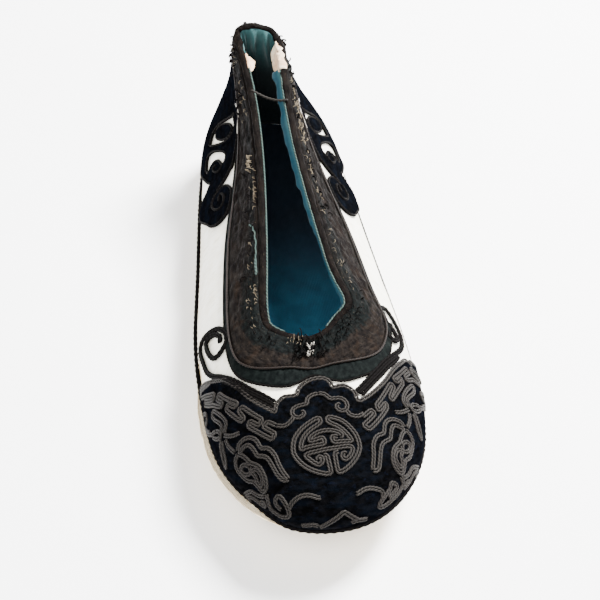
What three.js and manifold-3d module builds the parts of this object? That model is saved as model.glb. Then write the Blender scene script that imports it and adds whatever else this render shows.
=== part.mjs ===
// Chinese embroidered shoe: a low cloth slipper on a thick layered cloth sole.
// Frame: millimetres, +Z up, floor at z = 0, heel towards +Y, toe towards -Y,
// origin on the floor below the middle of the shoe.
// The shoe is straight lasted, so it fits either foot.

import * as THREE from 'three';
import { mergeVertices } from 'three/addons/utils/BufferGeometryUtils.js';
import Module from 'manifold-3d';

const wasm = await Module();
wasm.setup();

// Driving dimensions of the last
const LENGTH = 258;
const BALL_WIDTH = 89;
const THROAT_WIDTH = 35;
const HEEL_HEIGHT = 65;
const INSTEP_HEIGHT = 40;
const BELLY = 5;
const BELLY_RISE = 16;
const TOE_SWING = 1.1;

// Thicknesses of the pieces
const UPPER_WALL = 2.5;
const SOLE_THICKNESS = 13.7;
const TOE_LIFT = 9;
const TOE_SPRING = 11;
const INSOLE_THICKNESS = 1.5;
const BAND_THICKNESS = 0.8;
const VELVET_THICKNESS = 1.1;
const PIPING_DIAMETER = 1.8;
const BINDING_DIAMETER = 3;
const CORD_WIDTH = 2.4;
const CORD_THICKNESS = 1.2;

// Clearances between neighbours that only touch in the real shoe
const SEAT = 0.3;
const OVERLAY_GAP = 0.4;
const INSOLE_CLEARANCE = 0.6;

// Widths of the sewn edges, measured along the upper from the rim
const COLLAR_WIDTH = 24;
const BORDER_WIDTH = 7;

// The white almond left open in the heel scroll
const ALMOND_LENGTH = 20;
const ALMOND_WIDTH = 9;
const ALMOND_TILT = -0.35;

// The sole's side: one step for each stack of cloth layers, a welt at the toe and an undercut below
const SOLE_LAYERS = 3;
const LAYER_GROOVE = 0.6;
const LAYER_GROOVE_WIDTH = 0.9;
const SOLE_EDGE = 0.5;
const SOLE_WELT = 1.5;
const TOE_UNDERCUT = 8.5;

// Where the toe leaves the floor, the welt begins and is full, and the toe swings inwards, as shares of LENGTH
const SPRING_START = 0.72;
const WELT_START = 0.62;
const WELT_FULL = 0.72;
const SWING_START = 0.6;

// Fineness of the faceted surfaces
const COLUMNS_PER_SECTION = 3;
const WALL_STEPS = 5;
const BAND_STEPS = 2;
const TUBE_SIDES = 6;
const CORD_STEPS = 3;
const OUTLINE_STEPS = 3;
const ALMOND_POINTS = 12;
const CUTTER_REACH = 80;

// The last from heel seam to toe seam, one row for each section around one side.
// along, rimAlong: shares of LENGTH from the heel. half: share of half BALL_WIDTH.
// lift: share of TOE_LIFT. rimHalf: share of half THROAT_WIDTH. rimInstep: share of INSTEP_HEIGHT.
// rimHeel: share of the rise from instep to heel height. bulge: share of BELLY.
// inward: share of the way from rim to base in plan. drop: share of the rim's height.
// collar: share of COLLAR_WIDTH. border: share of BORDER_WIDTH. undercut: share of TOE_UNDERCUT.
const SECTIONS = [
  { name: 'heel seam', along: 0.000, half: 0.000, lift: 0.00, rimAlong: 0.035, rimHalf: 0.00, rimInstep: 1.00,
    rimHeel: 1.00, bulge: 1.20, inward: 0.10, drop: 0.46, collar: 0.50, border: 0.40, undercut: 0.24 },
  { name: 'heel round', along: 0.008, half: 0.250, lift: 0.00, rimAlong: 0.041, rimHalf: 0.50, rimInstep: 1.00,
    rimHeel: 0.96, bulge: 1.20, inward: 0.10, drop: 0.46, collar: 0.50, border: 0.40, undercut: 0.24 },
  { name: 'heel corner', along: 0.054, half: 0.560, lift: 0.00, rimAlong: 0.083, rimHalf: 0.58, rimInstep: 1.00,
    rimHeel: 0.84, bulge: 1.20, inward: 0.17, drop: 0.45, collar: 0.53, border: 0.40, undercut: 0.24 },
  { name: 'quarter', along: 0.151, half: 0.710, lift: 0.00, rimAlong: 0.180, rimHalf: 0.51, rimInstep: 1.00,
    rimHeel: 0.56, bulge: 1.00, inward: 0.30, drop: 0.46, collar: 0.62, border: 0.40, undercut: 0.30 },
  { name: 'waist', along: 0.277, half: 0.795, lift: 0.00, rimAlong: 0.306, rimHalf: 0.55, rimInstep: 1.00,
    rimHeel: 0.31, bulge: 0.80, inward: 0.34, drop: 0.41, collar: 0.76, border: 0.40, undercut: 0.35 },
  { name: 'instep', along: 0.413, half: 0.870, lift: 0.00, rimAlong: 0.442, rimHalf: 0.70, rimInstep: 1.00,
    rimHeel: 0.17, bulge: 0.65, inward: 0.36, drop: 0.34, collar: 0.93, border: 0.40, undercut: 0.35 },
  { name: 'ball', along: 0.558, half: 0.955, lift: 0.00, rimAlong: 0.568, rimHalf: 0.88, rimInstep: 1.00,
    rimHeel: 0.08, bulge: 0.70, inward: 0.39, drop: 0.25, collar: 0.87, border: 0.40, undercut: 0.30 },
  { name: 'joint', along: 0.694, half: 1.000, lift: 0.06, rimAlong: 0.655, rimHalf: 1.00, rimInstep: 0.99,
    rimHeel: 0.00, bulge: 0.90, inward: 0.445, drop: 0.18, collar: 0.83, border: 0.45, undercut: 0.35 },
  { name: 'toe side', along: 0.824, half: 0.945, lift: 0.32, rimAlong: 0.690, rimHalf: 0.86, rimInstep: 0.95,
    rimHeel: 0.00, bulge: 1.00, inward: 0.50, drop: 0.13, collar: 0.97, border: 0.76, undercut: 0.55 },
  { name: 'toe corner', along: 0.920, half: 0.720, lift: 0.64, rimAlong: 0.703, rimHalf: 0.58, rimInstep: 0.93,
    rimHeel: 0.00, bulge: 1.00, inward: 0.50, drop: 0.105, collar: 1.00, border: 1.10, undercut: 0.80 },
  { name: 'toe round', along: 0.980, half: 0.385, lift: 0.92, rimAlong: 0.707, rimHalf: 0.29, rimInstep: 0.91,
    rimHeel: 0.00, bulge: 1.00, inward: 0.50, drop: 0.105, collar: 0.97, border: 1.15, undercut: 0.97 },
  { name: 'toe seam', along: 0.998, half: 0.000, lift: 1.00, rimAlong: 0.708, rimHalf: 0.00, rimInstep: 0.90,
    rimHeel: 0.00, bulge: 1.00, inward: 0.50, drop: 0.105, collar: 0.80, border: 0.45, undercut: 1.00 },
];
const TOE = SECTIONS.length - 1;
const ROUND = 2 * TOE;

// Half of the velvet toe cap's top edge, from the middle out to the sole: a ruyi cloud, then a long wing.
// section: counted from the toe seam. down: share of COLLAR_WIDTH below the rim.
const CAP_EDGE = [
  { name: 'cloud peak', section: 0.00, down: 0.86 },
  { name: 'peak shoulder', section: 0.50, down: 0.93 },
  { name: 'notch', section: 0.82, down: 1.12 },
  { name: 'lobe top', section: 1.22, down: 1.08 },
  { name: 'lobe side', section: 1.53, down: 1.25 },
  { name: 'lobe foot', section: 1.48, down: 1.45 },
  { name: 'wing root', section: 1.72, down: 1.42 },
  { name: 'wing', section: 2.35, down: 1.28 },
  { name: 'wing side', section: 2.95, down: 1.17 },
  { name: 'wing top', section: 3.35, down: 1.17 },
  { name: 'wing tip', section: 3.68, down: 1.36 },
  { name: 'wing end', section: 3.95, down: 1.85 },
];

// The couched double cord beside the cap's wing, ending in a curl on the side of the upper.
// section: counted from the toe seam. down: share of COLLAR_WIDTH below the rim.
const SIDE_CORD = [
  { name: 'beside the cloud', section: 1.82, down: 1.23 },
  { name: 'below the border', section: 2.25, down: 1.15 },
  { name: 'border corner', section: 2.90, down: 1.06 },
  { name: 'crest', section: 3.38, down: 1.05 },
  { name: 'beside the tip', section: 3.72, down: 1.20 },
  { name: 'falling', section: 3.98, down: 1.42 },
  { name: 'low turn', section: 4.27, down: 1.58 },
  { name: 'side', section: 4.52, down: 1.66 },
  { name: 'curl back', section: 4.66, down: 1.46 },
  { name: 'curl shoulder', section: 4.62, down: 1.16 },
  { name: 'curl top', section: 4.40, down: 0.96 },
  { name: 'curl front', section: 4.12, down: 0.97 },
  { name: 'curl foot', section: 3.98, down: 1.10 },
  { name: 'inner foot', section: 4.10, down: 1.30 },
  { name: 'inner back', section: 4.34, down: 1.38 },
  { name: 'inner top', section: 4.42, down: 1.20 },
  { name: 'eye', section: 4.25, down: 1.13 },
];

// The velvet scroll on each side of the heel, as its outline.
// section: counted from the heel seam. down: share of the wall's length below the rim.
const HEEL_SCROLL = [
  { name: 'collar back', section: 1.70, down: 0.16 },
  { name: 'collar', section: 2.40, down: 0.16 },
  { name: 'collar front', section: 3.05, down: 0.19 },
  { name: 'neck top', section: 3.36, down: 0.29 },
  { name: 'neck', section: 3.64, down: 0.41 },
  { name: 'crook', section: 3.93, down: 0.58 },
  { name: 'spiral back', section: 4.02, down: 0.46 },
  { name: 'spiral top', section: 4.22, down: 0.38 },
  { name: 'spiral front', section: 4.47, down: 0.45 },
  { name: 'spiral side', section: 4.50, down: 0.60 },
  { name: 'spiral tip', section: 4.36, down: 0.76 },
  { name: 'spiral foot', section: 4.06, down: 0.80 },
  { name: 'stem notch', section: 3.72, down: 0.66 },
  { name: 'bulb low', section: 3.45, down: 0.78 },
  { name: 'bulb back', section: 3.22, down: 0.71 },
  { name: 'bulb top', section: 3.29, down: 0.59 },
  { name: 'crescent end', section: 3.42, down: 0.52 },
  { name: 'crescent top', section: 3.20, down: 0.47 },
  { name: 'crescent back', section: 2.99, down: 0.60 },
  { name: 'crescent mouth', section: 2.92, down: 0.80 },
  { name: 'low back', section: 2.55, down: 0.87 },
  { name: 'heel low', section: 1.90, down: 0.80 },
  { name: 'heel edge', section: 1.52, down: 0.55 },
  { name: 'heel top', section: 1.48, down: 0.28 },
];
const ALMOND_CENTRE = { section: 2.72, down: 0.52 };

// Stretches of the last, in sections, that carry the toe cap and a heel scroll
const CAP_REACH = 14 / 3;
const SCROLL_FROM = 4 / 3;
const SCROLL_TO = 5;

// Closed cubic spline through values at whole numbers.
function closedSpline(values) {
  const count = values.length;
  const bends = new Array(count).fill(0);
  const relaxations = 40;
  for (let pass = 0; pass < relaxations; pass++) {
    for (let i = 0; i < count; i++) {
      const before = (i + count - 1) % count;
      const after = (i + 1) % count;
      const kink = 6 * (values[after] - 2 * values[i] + values[before]);
      bends[i] = (kink - bends[before] - bends[after]) / 4;
    }
  }
  return (place) => {
    const whole = Math.floor(place);
    const share = place - whole;
    const rest = 1 - share;
    const here = ((whole % count) + count) % count;
    const next = (here + 1) % count;
    const straight = rest * values[here] + share * values[next];
    return straight + ((rest ** 3 - rest) * bends[here] + (share ** 3 - share) * bends[next]) / 6;
  };
}

// A column of the section table as a smooth function around both sides of the shoe.
function column(value, otherSide = 1) {
  const half = SECTIONS.map(value);
  const mirrored = half.slice(1, -1).reverse().map((entry) => otherSide * entry);
  return closedSpline([...half, ...mirrored]);
}

const baseAlong = column((row) => row.along);
const baseHalf = column((row) => row.half * BALL_WIDTH / 2, -1);
const baseHeight = column((row) => SOLE_THICKNESS + SEAT + row.lift * TOE_LIFT);
const rimAlong = column((row) => row.rimAlong);
const rimHalf = column((row) => row.rimHalf * THROAT_WIDTH / 2, -1);
const rimRise = column((row) => row.rimInstep * INSTEP_HEIGHT + row.rimHeel * (HEEL_HEIGHT - INSTEP_HEIGHT));
const bulge = column((row) => row.bulge * BELLY);
const inward = column((row) => row.inward);
const drop = column((row) => row.drop);
const collarReach = column((row) => row.collar * COLLAR_WIDTH);
const borderReach = column((row) => row.border * BORDER_WIDTH);
const undercut = column((row) => row.undercut * TOE_UNDERCUT);

function shareBeyond(along, start) {
  return Math.max(0, (along - start) / (1 - start));
}

function planPoint(along, half, height) {
  const swing = TOE_SWING * shareBeyond(along, SWING_START) ** 2;
  return new THREE.Vector3(half + swing, (0.5 - along) * LENGTH, height);
}

// The line where the upper meets the sole.
function basePoint(place) {
  return planPoint(baseAlong(place), baseHalf(place), baseHeight(place));
}

// The edge of the opening, on the wall's outer face.
function rimPoint(place) {
  return planPoint(rimAlong(place), rimHalf(place), SOLE_THICKNESS + SEAT + rimRise(place));
}

// Outward direction of the base line, seen from above.
function outward(place) {
  const step = 0.001;
  const ahead = basePoint(place + step).sub(basePoint(place - step));
  return new THREE.Vector3(-ahead.y, ahead.x, 0).normalize();
}

// The outer face of the upper: share 0 is the base line and share 1 the rim.
function upperPoint(place, share) {
  const base = basePoint(place);
  const rim = rimPoint(place);
  const belly = base.clone().addScaledVector(outward(place), bulge(place));
  belly.z += BELLY_RISE;
  const shoulder = rim.clone().lerp(new THREE.Vector3(base.x, base.y, rim.z), inward(place));
  shoulder.z -= drop(place) * rimRise(place);
  return new THREE.CubicBezierCurve3(base, belly, shoulder, rim).getPoint(share);
}

function upperNormal(place, share) {
  const step = 0.002;
  const around = upperPoint(place + step, share).sub(upperPoint(place - step, share));
  const low = Math.max(0, share - step);
  const high = Math.min(1, share + step);
  const up = upperPoint(place, high).sub(upperPoint(place, low));
  return up.cross(around).normalize();
}

function offsetPoint(place, share, distance) {
  return upperPoint(place, share).addScaledVector(upperNormal(place, share), distance);
}

// Lengths along the wall at one place, from the base line up to the rim.
function wallLengths(place) {
  const samples = 40;
  const lengths = [0];
  let before = upperPoint(place, 0);
  for (let i = 1; i <= samples; i++) {
    const here = upperPoint(place, i / samples);
    lengths.push(lengths[i - 1] + here.distanceTo(before));
    before = here;
  }
  return lengths;
}

function shareAtLength(lengths, wanted) {
  const last = lengths.length - 1;
  for (let i = 1; i <= last; i++) {
    if (lengths[i] >= wanted) {
      const within = (wanted - lengths[i - 1]) / (lengths[i] - lengths[i - 1]);
      return Math.max(0, (i - 1 + within) / last);
    }
  }
  return 1;
}

function shareBelowRim(place, down) {
  const lengths = wallLengths(place);
  return shareAtLength(lengths, lengths.at(-1) - down);
}

// The grid lines of the wall at one place, as lengths from the base line.
function wallMarks(place) {
  const whole = wallLengths(place).at(-1);
  const piping = PIPING_DIAMETER + 2 * OVERLAY_GAP;
  const borderEdge = whole - collarReach(place);
  const bandEdge = borderEdge + borderReach(place);
  return { whole, piping, borderEdge, bandEdge };
}

function evenSteps(from, to, steps) {
  return Array.from({ length: steps + 1 }, (_, i) => from + (to - from) * i / steps);
}

function sharesAt(place, marks) {
  const lengths = wallLengths(place);
  return marks.map((mark) => shareAtLength(lengths, mark));
}

// Grid lines of the whole wall, of the part below the border, of the border and of the band.
function wallShares(place) {
  const { whole, piping, borderEdge, bandEdge } = wallMarks(place);
  const lower = evenSteps(piping, borderEdge, WALL_STEPS);
  const upper = evenSteps(bandEdge, whole, BAND_STEPS);
  return sharesAt(place, [0, ...lower, ...upper]);
}

function velvetShares(place) {
  const { piping, borderEdge } = wallMarks(place);
  return sharesAt(place, evenSteps(piping, borderEdge, WALL_STEPS));
}

function borderShares(place) {
  const { borderEdge, bandEdge } = wallMarks(place);
  return sharesAt(place, [borderEdge + OVERLAY_GAP, bandEdge - OVERLAY_GAP]);
}

function bandShares(place) {
  const { whole, bandEdge } = wallMarks(place);
  return sharesAt(place, evenSteps(bandEdge, whole, BAND_STEPS));
}

function geometryFrom(points, triangles) {
  const geometry = new THREE.BufferGeometry();
  const numbers = points.flatMap((point) => [point.x, point.y, point.z]);
  geometry.setAttribute('position', new THREE.Float32BufferAttribute(numbers, 3));
  geometry.setIndex(triangles);
  return geometry;
}

// Joins closed sections along a path; each section runs clockwise seen along the path.
// The second half of a section mirrors the first, so its squares are split along the same line.
// An open path is closed at both ends by strips across the section.
function sweptGeometry(sections, closed) {
  const size = sections[0].length;
  const triangles = [];
  const spans = closed ? sections.length : sections.length - 1;
  for (let i = 0; i < spans; i++) {
    const here = i * size;
    const next = ((i + 1) % sections.length) * size;
    for (let k = 0; k < size; k++) {
      const after = (k + 1) % size;
      if (k < size / 2) {
        triangles.push(here + k, next + after, next + k, here + k, here + after, next + after);
      } else {
        triangles.push(here + k, here + after, next + k, here + after, next + after, next + k);
      }
    }
  }
  if (!closed) {
    const end = (sections.length - 1) * size;
    for (let k = 0; k < size / 2 - 1; k++) {
      const across = size - 1 - k;
      triangles.push(k, across, across - 1, k, across - 1, k + 1);
      triangles.push(end + k, end + across - 1, end + across, end + k, end + k + 1, end + across - 1);
    }
  }
  return geometryFrom(sections.flat(), triangles);
}

// Stacks loops from the lowest up; strips across the shoe close the lowest and the highest.
function stackedGeometry(loops) {
  const count = loops[0].length;
  const triangles = [];
  for (let row = 0; row < loops.length - 1; row++) {
    const low = row * count;
    const high = low + count;
    for (let i = 0; i < count; i++) {
      const next = (i + 1) % count;
      triangles.push(low + i, high + next, low + next, low + i, high + i, high + next);
    }
  }
  const top = (loops.length - 1) * count;
  const strip = (right, left, leftNext, rightNext) => {
    triangles.push(top + right, top + left, top + leftNext, right, leftNext, left);
    if (rightNext !== leftNext) {
      triangles.push(top + right, top + leftNext, top + rightNext, right, rightNext, leftNext);
    }
  };
  triangles.push(top, top + count - 1, top + 1, 0, 1, count - 1);
  for (let i = 1; i < count / 2; i++) {
    strip(i, count - i, count - i - 1, i + 1);
  }
  return geometryFrom(loops.flat(), triangles);
}

// A piece of even thickness that lies over the upper between two places.
function shellGeometry({ from, to, shares, near, far }) {
  const closed = to - from >= ROUND;
  const columns = Math.round((to - from) * COLUMNS_PER_SECTION);
  const sections = [];
  for (let i = 0; i < columns + (closed ? 0 : 1); i++) {
    const place = from + i / COLUMNS_PER_SECTION;
    const rows = shares(place);
    const outer = rows.map((share) => offsetPoint(place, share, far));
    const inner = rows.map((share) => offsetPoint(place, share, near));
    sections.push([...outer, ...inner.reverse()]);
  }
  return sweptGeometry(sections, closed);
}

function placesAround() {
  return Array.from({ length: ROUND * COLUMNS_PER_SECTION }, (_, i) => i / COLUMNS_PER_SECTION);
}

// A round cord that follows a closed line of centres with their outward directions.
function ringCordGeometry(centreAt, diameter) {
  const places = placesAround();
  const centres = places.map(centreAt);
  const sections = centres.map((centre, i) => {
    const before = centres[(i + centres.length - 1) % centres.length];
    const ahead = centres[(i + 1) % centres.length].clone().sub(before).normalize();
    const out = outward(places[i]);
    const side = ahead.clone().cross(out).normalize();
    return Array.from({ length: TUBE_SIDES }, (_, k) => {
      const angle = 2 * Math.PI * k / TUBE_SIDES;
      const point = centre.clone().addScaledVector(out, Math.cos(angle) * diameter / 2);
      return point.addScaledVector(side, Math.sin(angle) * diameter / 2);
    });
  });
  return sweptGeometry(sections, true);
}

// Boolean work on closed meshes.
function solidFrom(geometry) {
  const bare = geometry.clone();
  bare.deleteAttribute('normal');
  bare.deleteAttribute('uv');
  const merged = mergeVertices(bare);
  const vertProperties = Float32Array.from(merged.attributes.position.array);
  const triVerts = Uint32Array.from(merged.index.array);
  return new wasm.Manifold(new wasm.Mesh({ numProp: 3, vertProperties, triVerts }));
}

function geometryOf(solid) {
  const mesh = solid.getMesh();
  const geometry = new THREE.BufferGeometry();
  geometry.setAttribute('position', new THREE.BufferAttribute(Float32Array.from(mesh.vertProperties), 3));
  geometry.setIndex(new THREE.BufferAttribute(Uint32Array.from(mesh.triVerts), 1));
  return geometry;
}

// A closed smooth outline through points of a plane.
function smoothOutline(points) {
  const curve = new THREE.CatmullRomCurve3(points.map((point) => new THREE.Vector3(point.x, point.y, 0)), true);
  const outline = curve.getPoints(points.length * OUTLINE_STEPS).slice(0, -1);
  return outline.map((point) => new THREE.Vector2(point.x, point.y));
}

// The base of the sole: flat from the heel to the ball, then rising to the toe.
function soleBottomPoint(place) {
  const point = basePoint(place).addScaledVector(outward(place), -undercut(place));
  point.z = TOE_SPRING * shareBeyond(0.5 - point.y / LENGTH, SPRING_START) ** 2;
  return point;
}

function soleTopPoint(place) {
  const grown = (baseAlong(place) - WELT_START) / (WELT_FULL - WELT_START);
  const welt = SOLE_WELT * Math.min(1, Math.max(0, grown));
  const point = basePoint(place).addScaledVector(outward(place), welt);
  point.z -= SEAT;
  return point;
}

function soleGeometry() {
  const groove = LAYER_GROOVE_WIDTH / 2 / SOLE_THICKNESS;
  const steps = [{ height: 0, inset: SOLE_EDGE }, { height: groove, inset: 0 }];
  for (let layer = 1; layer < SOLE_LAYERS; layer++) {
    const height = layer / SOLE_LAYERS;
    steps.push({ height: height - groove, inset: 0 });
    steps.push({ height, inset: LAYER_GROOVE });
    steps.push({ height: height + groove, inset: 0 });
  }
  steps.push({ height: 1 - groove, inset: 0 }, { height: 1, inset: SOLE_EDGE });
  return stackedGeometry(steps.map(({ height, inset }) => placesAround().map((place) => {
    const point = soleBottomPoint(place).lerp(soleTopPoint(place), height);
    return point.addScaledVector(outward(place), -inset);
  })));
}

function insoleGeometry() {
  const inset = UPPER_WALL + INSOLE_CLEARANCE;
  const loopAt = (rise) => placesAround().map((place) => {
    const point = basePoint(place).addScaledVector(outward(place), -inset);
    point.z += rise;
    return point;
  });
  return stackedGeometry([loopAt(0), loopAt(INSOLE_THICKNESS)]);
}

function upperGeometry() {
  return shellGeometry({ from: 0, to: ROUND, shares: wallShares, near: -UPPER_WALL, far: 0 });
}

function overUpper(thickness) {
  return { near: OVERLAY_GAP, far: OVERLAY_GAP + thickness };
}

// The velvet over the toe, cut along its cloud edge straight down onto the upper.
function toeCapGeometry() {
  const velvet = shellGeometry({
    from: TOE - CAP_REACH, to: TOE + CAP_REACH, shares: velvetShares, ...overUpper(VELVET_THICKNESS),
  });
  const edgeAt = (row, side) => {
    const place = TOE + side * row.section;
    const point = upperPoint(place, shareBelowRim(place, row.down * COLLAR_WIDTH));
    return new THREE.Vector2(point.x, point.y);
  };
  const rightHalf = CAP_EDGE.map((row) => edgeAt(row, -1));
  const leftHalf = CAP_EDGE.slice(1).reverse().map((row) => edgeAt(row, 1));
  const curve = new THREE.SplineCurve([...leftHalf, ...rightHalf]);
  const edge = curve.getPoints(OUTLINE_STEPS * (leftHalf.length + rightHalf.length - 1));
  const outline = new THREE.Shape([
    new THREE.Vector2(-LENGTH / 2, edge[0].y),
    ...edge,
    new THREE.Vector2(LENGTH / 2, edge.at(-1).y),
    new THREE.Vector2(LENGTH / 2, -LENGTH),
    new THREE.Vector2(-LENGTH / 2, -LENGTH),
  ]);
  const cutter = new THREE.ExtrudeGeometry(outline, { depth: 2 * CUTTER_REACH, bevelEnabled: false });
  cutter.translate(0, 0, -CUTTER_REACH / 2);
  return geometryOf(solidFrom(velvet).intersect(solidFrom(cutter)));
}

// The velvet scroll on one side of the heel, cut through its outline from the side.
function heelScrollGeometry(side) {
  const placeOf = (section) => (side > 0 ? section : ROUND - section);
  const velvet = shellGeometry({
    from: Math.min(placeOf(SCROLL_FROM), placeOf(SCROLL_TO)),
    to: Math.max(placeOf(SCROLL_FROM), placeOf(SCROLL_TO)),
    shares: velvetShares,
    ...overUpper(VELVET_THICKNESS),
  });
  const sidePoint = (row) => {
    const place = placeOf(row.section);
    const lengths = wallLengths(place);
    const point = upperPoint(place, shareAtLength(lengths, lengths.at(-1) * (1 - row.down)));
    return new THREE.Vector2(point.y, point.z);
  };
  const outline = new THREE.Shape(smoothOutline(HEEL_SCROLL.map(sidePoint)));
  const centre = sidePoint(ALMOND_CENTRE);
  const almond = Array.from({ length: ALMOND_POINTS }, (_, i) => {
    const angle = 2 * Math.PI * i / ALMOND_POINTS;
    const spot = new THREE.Vector2(Math.cos(angle) * ALMOND_WIDTH / 2, Math.sin(angle) * ALMOND_LENGTH / 2);
    return spot.rotateAround(new THREE.Vector2(), ALMOND_TILT).add(centre);
  });
  outline.holes.push(new THREE.Path(almond));
  const cutter = new THREE.ExtrudeGeometry(outline, { depth: CUTTER_REACH, bevelEnabled: false });
  cutter.applyMatrix4(new THREE.Matrix4().makeBasis(
    new THREE.Vector3(0, 1, 0), new THREE.Vector3(0, 0, 1), new THREE.Vector3(1, 0, 0)));
  cutter.translate(side > 0 ? 0 : -CUTTER_REACH, 0, 0);
  return geometryOf(solidFrom(velvet).intersect(solidFrom(cutter)));
}

// The flat double cord on one side of the toe, from the cloud to its curl.
function sideCordGeometry(side) {
  const marks = SIDE_CORD.map((row) => new THREE.Vector3(row.section, row.down, 0));
  const chart = new THREE.CatmullRomCurve3(marks).getPoints(CORD_STEPS * (marks.length - 1));
  const spots = chart.map((mark) => {
    const place = TOE - side * mark.x;
    const share = shareBelowRim(place, mark.y * COLLAR_WIDTH);
    return { point: upperPoint(place, share), normal: upperNormal(place, share) };
  });
  const sections = spots.map(({ point, normal }, i) => {
    const before = spots[Math.max(0, i - 1)].point;
    const after = spots[Math.min(spots.length - 1, i + 1)].point;
    const right = after.clone().sub(before).cross(normal).normalize().multiplyScalar(CORD_WIDTH / 2);
    const { near, far } = overUpper(CORD_THICKNESS);
    const low = point.clone().addScaledVector(normal, near);
    const high = point.clone().addScaledVector(normal, far);
    return [high.clone().sub(right), high.clone().add(right), low.clone().add(right), low.clone().sub(right)];
  });
  return sweptGeometry(sections, false);
}

// The cord that covers the seam between upper and sole.
function basePipingGeometry() {
  const radius = PIPING_DIAMETER / 2;
  return ringCordGeometry((place) => {
    const lean = PIPING_DIAMETER * bulge(place) / BELLY_RISE;
    const centre = basePoint(place).addScaledVector(outward(place), radius + SEAT + lean);
    centre.z += radius;
    return centre;
  }, PIPING_DIAMETER);
}

// The rolled binding that sits on the wall and band around the opening.
function rimBindingGeometry() {
  return ringCordGeometry((place) => {
    const step = 0.01;
    const up = upperPoint(place, 1).sub(upperPoint(place, 1 - step)).normalize();
    const middle = (OVERLAY_GAP + BAND_THICKNESS - UPPER_WALL) / 2;
    return offsetPoint(place, 1, middle).addScaledVector(up, SEAT + BINDING_DIAMETER / 2);
  }, BINDING_DIAMETER);
}

function part(name, geometry, color, roughness) {
  const mesh = new THREE.Mesh(geometry, new THREE.MeshStandardMaterial({ color, roughness, metalness: 0 }));
  mesh.name = name;
  return mesh;
}

const WHITE_CLOTH = 0xe6e0d2;
const WHITE_SILK = 0xeeede6;
const BLUE_CLOTH = 0x0e3346;
const BROWN_SILK = 0x2f2725;
const GREEN_SILK = 0x1b2524;
const BLACK_VELVET = 0x0c0d16;
const BLACK_CORD = 0x17161a;

const shoe = new THREE.Group();
shoe.add(part('sole', soleGeometry(), WHITE_CLOTH, 0.9));
shoe.add(part('insole', insoleGeometry(), BLUE_CLOTH, 0.95));
shoe.add(part('upper', upperGeometry(), WHITE_SILK, 0.6));
shoe.add(part('toe_cap', toeCapGeometry(), BLACK_VELVET, 0.9));
shoe.add(part('collar_border', shellGeometry({
  from: 0, to: ROUND, shares: borderShares, ...overUpper(BAND_THICKNESS),
}), GREEN_SILK, 0.75));
shoe.add(part('collar_band', shellGeometry({
  from: 0, to: ROUND, shares: bandShares, ...overUpper(BAND_THICKNESS),
}), BROWN_SILK, 0.7));
shoe.add(part('rim_binding', rimBindingGeometry(), BROWN_SILK, 0.8));
shoe.add(part('base_piping', basePipingGeometry(), BLACK_CORD, 0.8));
for (const [label, side] of [['left', -1], ['right', 1]]) {
  shoe.add(part(`heel_scroll_${label}`, heelScrollGeometry(side), BLACK_VELVET, 0.9));
  shoe.add(part(`side_cord_${label}`, sideCordGeometry(side), BLACK_CORD, 0.85));
}

export default shoe;
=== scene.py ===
"""Chinese embroidered shoe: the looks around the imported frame.

Lengths are millimetres here and become metres when a mesh is made. The upper is charted by a
place t around the shoe (0 at the heel seam, 11 at the toe seam, the right side below 11) and a
distance d down the wall from the edge of the opening.
"""
import math

import bmesh
import bpy
import numpy as np
from mathutils import Matrix, Vector
from mathutils.bvhtree import BVHTree
from mathutils.geometry import barycentric_transform, delaunay_2d_cdt
from mathutils.kdtree import KDTree


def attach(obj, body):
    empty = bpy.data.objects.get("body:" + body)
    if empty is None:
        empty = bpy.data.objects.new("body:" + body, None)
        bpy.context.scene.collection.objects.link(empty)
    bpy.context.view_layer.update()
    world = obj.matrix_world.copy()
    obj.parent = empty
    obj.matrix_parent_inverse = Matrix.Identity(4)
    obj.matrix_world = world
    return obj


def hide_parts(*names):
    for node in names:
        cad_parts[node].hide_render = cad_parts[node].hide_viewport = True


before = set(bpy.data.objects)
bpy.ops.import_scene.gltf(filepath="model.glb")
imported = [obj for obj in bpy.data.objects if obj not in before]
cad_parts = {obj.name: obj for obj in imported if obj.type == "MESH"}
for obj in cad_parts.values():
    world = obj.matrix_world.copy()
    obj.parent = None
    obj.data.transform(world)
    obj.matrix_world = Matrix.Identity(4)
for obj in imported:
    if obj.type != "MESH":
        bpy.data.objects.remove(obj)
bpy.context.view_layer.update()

MM = 0.001

# The last, as in the CAD
LENGTH = 258
BALL_WIDTH = 89
THROAT_WIDTH = 35
HEEL_HEIGHT = 65
INSTEP_HEIGHT = 40
BELLY = 5
BELLY_RISE = 16
TOE_SWING = 1.1
SWING_START = 0.6
UPPER_WALL = 2.5
SOLE_THICKNESS = 13.7
TOE_LIFT = 9
TOE_SPRING = 11
TOE_UNDERCUT = 8.5
SOLE_WELT = 1.5
SPRING_START = 0.72
WELT_START = 0.62
WELT_FULL = 0.72
SEAT = 0.3
INSOLE_THICKNESS = 1.5
INSOLE_CLEARANCE = 0.6
OVERLAY_GAP = 0.4
BAND_THICKNESS = 0.8
VELVET_THICKNESS = 1.1
PIPING_DIAMETER = 1.8
BINDING_DIAMETER = 3
COLLAR_WIDTH = 24
BORDER_WIDTH = 7
SOLE_LAYERS = 3
TOE_TUCK = 2.4

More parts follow.
